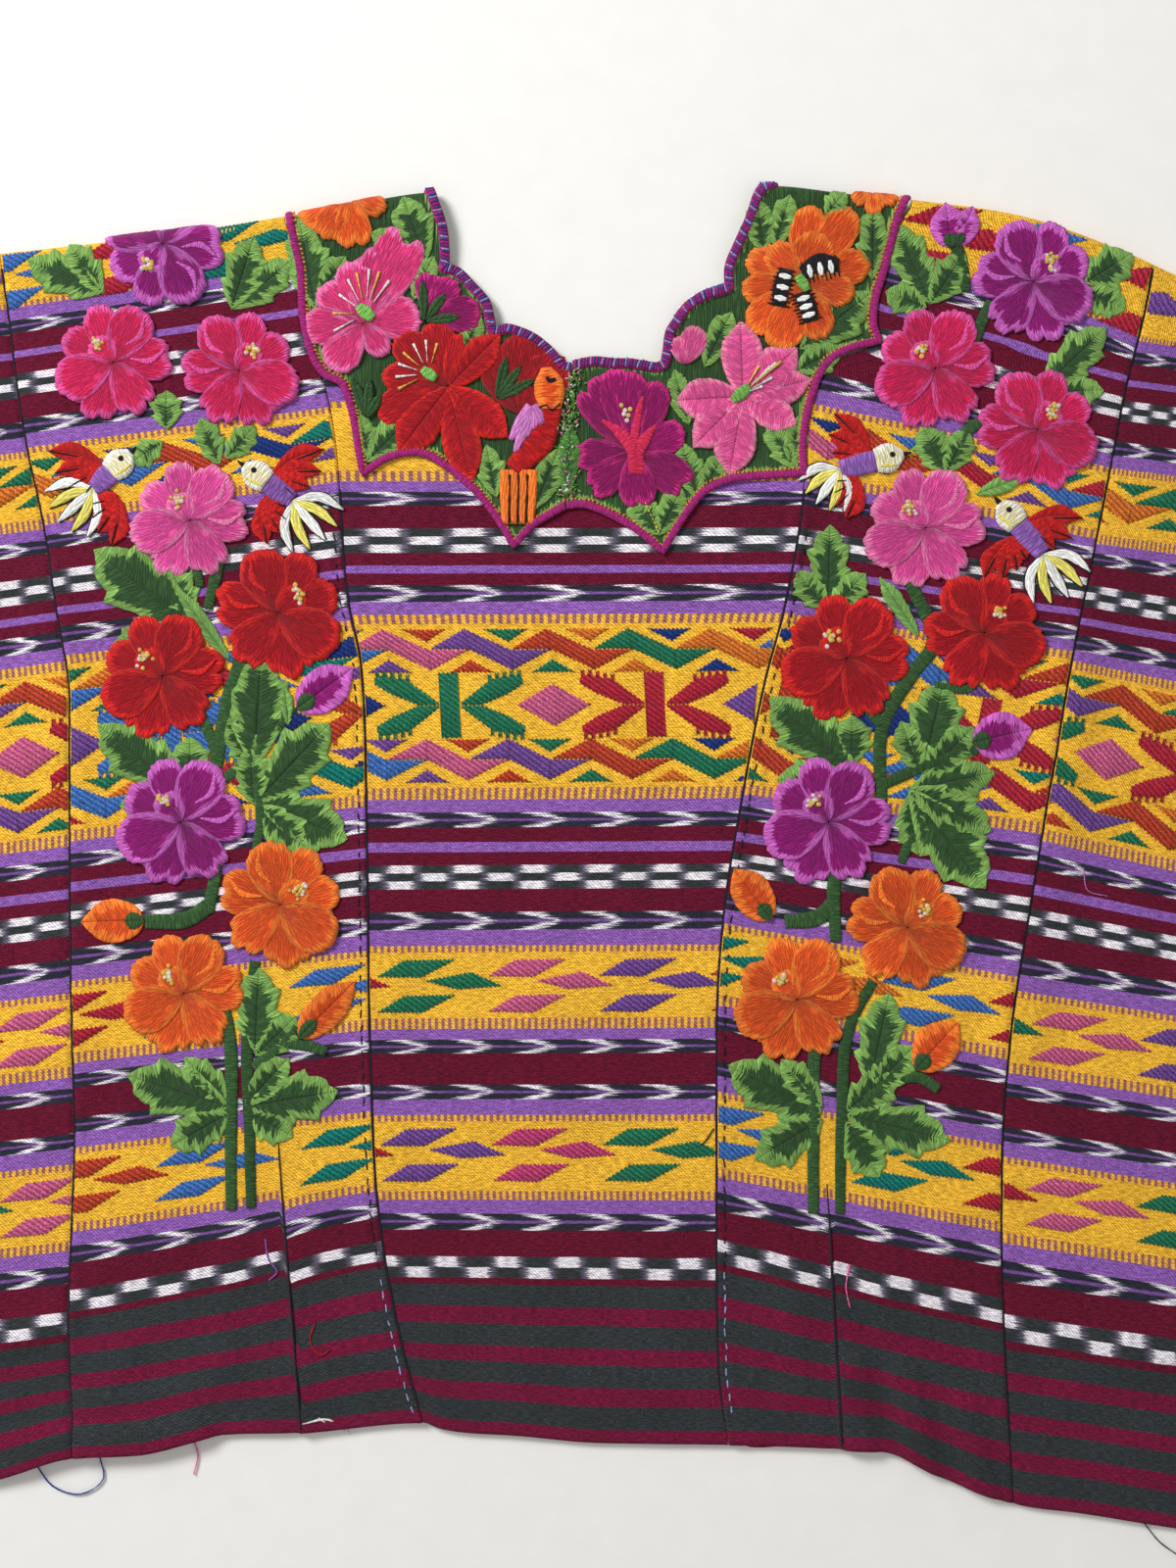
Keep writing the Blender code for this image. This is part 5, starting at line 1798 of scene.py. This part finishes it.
# %% Right half: the orange poppy with its dark marks
POPPY_MARKS = [(4.2, (945, 385), (925, 455), (915, 530)), (4.4, (1010, 400), (1080, 355), (1150, 370)),
               (4.4, (1005, 480), (1030, 530), (1040, 590))]
MARK_STITCHES, MARK_SPOTS = 9, (0.2, 0.5, 0.8)


def dark_mark(work, line, width):
    """A black patch with ragged sides and three white stitches."""
    run = line[-1] - line[0]
    aside = aside_of(run) / np.hypot(*run)
    ribbon(work, line, [width * 0.8, width, width * 0.8], "black", 2.3, 0.5)
    for share in np.linspace(0.02, 0.98, MARK_STITCHES):
        spot = line[0] + run * share
        reach = aside * width * rng.uniform(1.1, 1.45)
        ribbon(work, [spot - reach, spot + reach], [0.25, 0.8, 0.25], "black", 2.2, 0.6, samples=6)
    for share in MARK_SPOTS:
        spot, reach = line[0] + run * share, aside * width * 0.72
        ribbon(work, [spot - reach, spot, spot + reach], [0.7, 1.5, 0.7], "tail_white", 3.0, 0.8, False,
               samples=7)


right.fan((1010, 430), [(790, 330, 48, 0), (1045, 135, 44, 0), (1210, 150, 38, 0), (1275, 350, 44, 0),
                        (770, 470, 44, 0), (800, 620, 44, 0), (1090, 660, 50, 0), (910, 700, 48, 0),
                        (880, 290, 60, 0), (1080, 240, 76, 0), (1215, 480, 56, 0)], "orange", 0.0, 1.2)
for width, *places in POPPY_MARKS:
    dark_mark(right, np.array([right.near(*p) for p in places]), width)
right.line([(990, 410), (1030, 470)], [1.8, 2.6, 1.6], "fresh_green", 3.2, 0.6)
for share in np.linspace(0, 1, 9):
    vein = right.near(375 + 60 * share, 1290 + 130 * share)
    ribbon(right, [vein, (vein[0] + 0.5, vein[1] - 1.1)], [0.3], "knot_yellow", 1.6, 0.2, samples=4)
embroidery["yoke_flowers_right"] = right.build()

# %% [markdown]
# ## Bindings and seams
# The yoke's outer edge has a narrow magenta binding with a row of tiny orange
# stitches inside it. The neck edge is bound too and then overcast with blue
# thread, which leaves small slanted loops. The seam between the two halves is
# frayed, so it gets a row of loose short stitches in the colours around it.

# %% A rounded binding and overcast loops
TWIST_MM = 1.7
EVEN_TONE = 0.5


def edge_ribbon(work, points, half, color, layer, thick):
    """A rounded binding along an edge that may turn over the shoulder."""
    line = np.stack([points[:, 0], yoke_along(points[:, 0], points[:, 1])], axis=-1)
    steps = distances(line)[:, None]
    off = np.linspace(-1, 1, 9)[None, :]
    x, y = spread_aside(line, off, half)
    bulge = layer + thick * np.sqrt(np.clip(1 - off ** 2 * 0.94, 0, 1))
    bulge = bulge + 0.1 * np.sin(steps * 2 * math.pi / TWIST_MM)
    work.patch(x, y, bulge, steps, off * half, (1 - np.abs(off)) * half, color, EVEN_TONE)


def overcast(work, line, pitch, reach, color_cycle, layer, lean=0.8):
    """Slanted loops of thread over an edge."""
    steps = distances(line)
    for index, at in enumerate(np.arange(1.0, steps[-1] - 1.0, pitch)):
        at = at + rng.normal(0, 0.25)
        here, there = [np.array([np.interp(a, steps, line[:, axis]) for axis in (0, 1)])
                       for a in (at, at + lean)]
        ahead = (there - here) / max(np.hypot(*(there - here)), TINY)
        aside = aside_of(ahead)
        ends = [here - aside * reach + rng.normal(0, 0.2, 2), here + ahead * 0.5, there + aside * reach]
        ends = [(p[0], float(yoke_along(p[0], p[1]))) for p in ends]
        ribbon(work, ends, [0.32, 0.42, 0.32], color_cycle[index % len(color_cycle)], layer, 0.5, samples=5)


print("left neck edge:", round(float(distances(yoke_edges("left")[0])[-1])), "mm")

# %% Bind the yoke's edge and the neck
NECK_THREADS = ["navy_thread", "magenta", "navy_thread", "sky_thread"]
for side in YOKE_STATIONS:
    neck, outer = yoke_edges(side)
    toward_neck = (neck - outer) / np.hypot(*(neck - outer).T)[:, None]
    work = Stitching("yoke_edge_" + side, yoke_top)
    edge_ribbon(work, outer, 1.9, "magenta", 1.0, 1.2)
    overcast(work, outer + toward_neck * 2.6, 2.1, 0.55, ["stitch_orange"], 1.0, 0.5)
    pieces["yoke_binding_" + side] = work.build()
    work = Stitching("neck_edge_" + side, yoke_top)
    edge_ribbon(work, neck - toward_neck * 1.4, 2.5, "magenta", 0.5, 1.3)
    edge_ribbon(work, neck - toward_neck * 0.1, 0.75, "navy_thread", 0.5, 1.0)
    overcast(work, neck - toward_neck * 1.2, 1.5, 2.0, NECK_THREADS, 1.6)
    pieces["neck_binding_" + side] = work.build()

# %% The frayed seam between the halves
SEAM_TOP, SEAM_END = np.array((-7.8, 250.0)), np.array((-11.0, 181.0))
FRAYED_STITCHES = 420
FRAYED_COLORS = ["moss", "leaf", "moss", "tail_white", "fresh_green", "moss", "leaf", "poppy_pink", "moss"]
work = Stitching("yoke_seam", yoke_top)
for index in range(FRAYED_STITCHES):
    spot = SEAM_TOP + (SEAM_END - SEAM_TOP) * rng.random() + np.array((rng.normal(0, 2.4), 0))
    angle = rng.uniform(0, math.pi)
    end = spot + rng.uniform(0.9, 2.2) * np.array((math.cos(angle), math.sin(angle)))
    bent = [spot, (spot + end) / 2 + rng.normal(0, 0.3, 2), end]
    color = FRAYED_COLORS[int(rng.integers(len(FRAYED_COLORS)))]
    ribbon(work, bent, [0.25, 0.35, 0.2], color, rng.uniform(0.2, 1.2), 0.4, samples=5)
embroidery["yoke_seam"] = work.build()

# %% The wrong side of the back neckline, which shows below the right neck edge
BACK_EDGE = [(742, 296), (716, 306), (698, 322), (688, 342), (684, 356)]
BACK_THREADS = ["navy_thread", "tail_white", "sky_thread", "poppy_pink"]
BACK_TOP = 2.0
line = np.array([px(*p) for p in BACK_EDGE])
work = Stitching("yoke_back_edge", lambda x, y: np.full(np.shape(x), BACK_TOP))
ribbon(work, line, [3.6, 4.4, 3.6], "tail_white", 0.0, 0.8)
overcast(work, line, 2.0, 2.6, BACK_THREADS, 0.8)
ribbon(work, line + np.array((-1.6, 1.6)), [1.4], "navy_thread", 0.4, 0.9)
embroidery["yoke_back_edge"] = work.build()

# %% [markdown]
# ## Hand stitching and loose threads
# The strips are sewn down by hand with dark running stitches just inside their
# turned edges, and a few cut ends of thread are still caught at the hem. Both are
# small, but without them the seams look glued.

# %% Running stitches, and painted shadow along the seams
RUNNING_PITCH, RUNNING_LENGTH = 6.2, 3.4
RUNNING_ROWS = ((-272, -205, "sky_thread"), (-200, 165, "seam_dark"))  # from, to, thread
STRIP_SEAMS = {  # turned edge, side seam, toward the strip, tuck
    "left": (left_strip_edge, left_side_seam, -1, TUCKS[0]),
    "right": (right_strip_edge, right_side_seam, 1, TUCKS[1]),
}


def running_stitches(work, edge, inset, low, high, color):
    """Short dashes along a curve x = edge(y)."""
    y = low
    while y < high:
        length = RUNNING_LENGTH + rng.normal(0, 0.5)
        ends = [(float(edge(v)) + inset + rng.normal(0, 0.25), v) for v in (y, y + length)]
        ribbon(work, ends, [0.3, 0.42, 0.3], color, 0.0, 0.5, samples=5)
        y += RUNNING_PITCH + rng.normal(0, 0.6)


for side, (strip_edge, seam, sign, tuck) in STRIP_SEAMS.items():
    work = Stitching("seam_stitches_" + side)
    for low, high, thread in RUNNING_ROWS:
        running_stitches(work, strip_edge, sign * 4.0, low, high, thread)
    # Painted shadow: a thin dark sheet along each side seam, each strip's turned edge and the tuck, where
    # shade falls into the groove.
    for line_x, low, high in ((seam, -285, 300), (strip_edge, -268, 190)):
        line = [(float(line_x(v)), v) for v in np.arange(low, high, 6.0)]
        ribbon(work, line, [0.55], "seam_dark", -0.15, 0.3, samples=180)
    ribbon(work, [tuck[:2], tuck[2:]], [0.2, 0.6, 0.7, 0.6], "seam_dark", -0.1, 0.3, samples=60)
    embroidery["seam_stitches_" + side] = work.build()

# %% Loose threads
LOOSE_THREADS = {"left": [  # points in pixels, half width in mm, colour
    ([(272, 1262), (276, 1284), (284, 1296), (276, 1304)], 0.4, "body_purple"),
    ([(322, 1348), (318, 1366), (330, 1380), (338, 1374)], 0.4, "dark_red"),
    ([(310, 1450), (336, 1446), (356, 1462)], 0.5, "tail_white"),
    ([(326, 1444), (340, 1452), (350, 1448)], 0.4, "tail_white"),
    ([(194, 1462), (202, 1482), (198, 1504)], 0.3, "poppy_pink"),
    ([(36, 1492), (54, 1516), (84, 1524), (106, 1508), (102, 1486)], 0.28, "navy_thread")
], "right": [
    ([(866, 1288), (862, 1310), (866, 1332)], 0.35, "poppy_pink"),
    ([(700, 1172), (716, 1166), (728, 1150)], 0.3, "black"),
    ([(1166, 1552), (1182, 1572), (1204, 1588)], 0.3, "black"),
    ([(738, 1462), (760, 1474), (800, 1474), (830, 1470)], 0.3, "dark_red"),
    ([(1104, 888), (1108, 908), (1128, 914)], 0.25, "wing_lilac")
]}
TABLE_Z = 0.3


def thread_bed(x, y):
    """The cloth's top, or the table beyond the hem."""
    on_cloth = ease((y - hem(x) - 1.0) / 5.0)
    return cloth_top(x, y) * on_cloth + TABLE_Z * (1 - on_cloth)


for side, threads in LOOSE_THREADS.items():
    work = Stitching("loose_threads_" + side, thread_bed)
    for line, half_width, color in threads:
        ribbon(work, [px(*p) for p in line], [half_width], color, 0.1, 0.5, samples=16)
    embroidery["loose_threads_" + side] = work.build()

# %% Which small pieces lie on which panel
SEWN_ON = {"yoke_left": [embroidery["yoke_flowers_left"], embroidery["yoke_seam"]],
           "yoke_right": [embroidery["yoke_flowers_right"], embroidery["yoke_back_edge"]]}
for side in ("left", "right"):
    SEWN_ON["flower_strip_" + side] = [
        obj for name, obj in embroidery.items() if name.endswith(side) and not name.startswith("yoke")]
print("on the left strip:", [obj.name for obj in SEWN_ON["flower_strip_left"]])

# %% Ride and replace
for node, obj in pieces.items():
    on_it = ([brocades[node]] if node in brocades else []) + SEWN_ON.get(node, [])
    for piece in [obj] + on_it:
        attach(piece, "root")
    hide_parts(node)
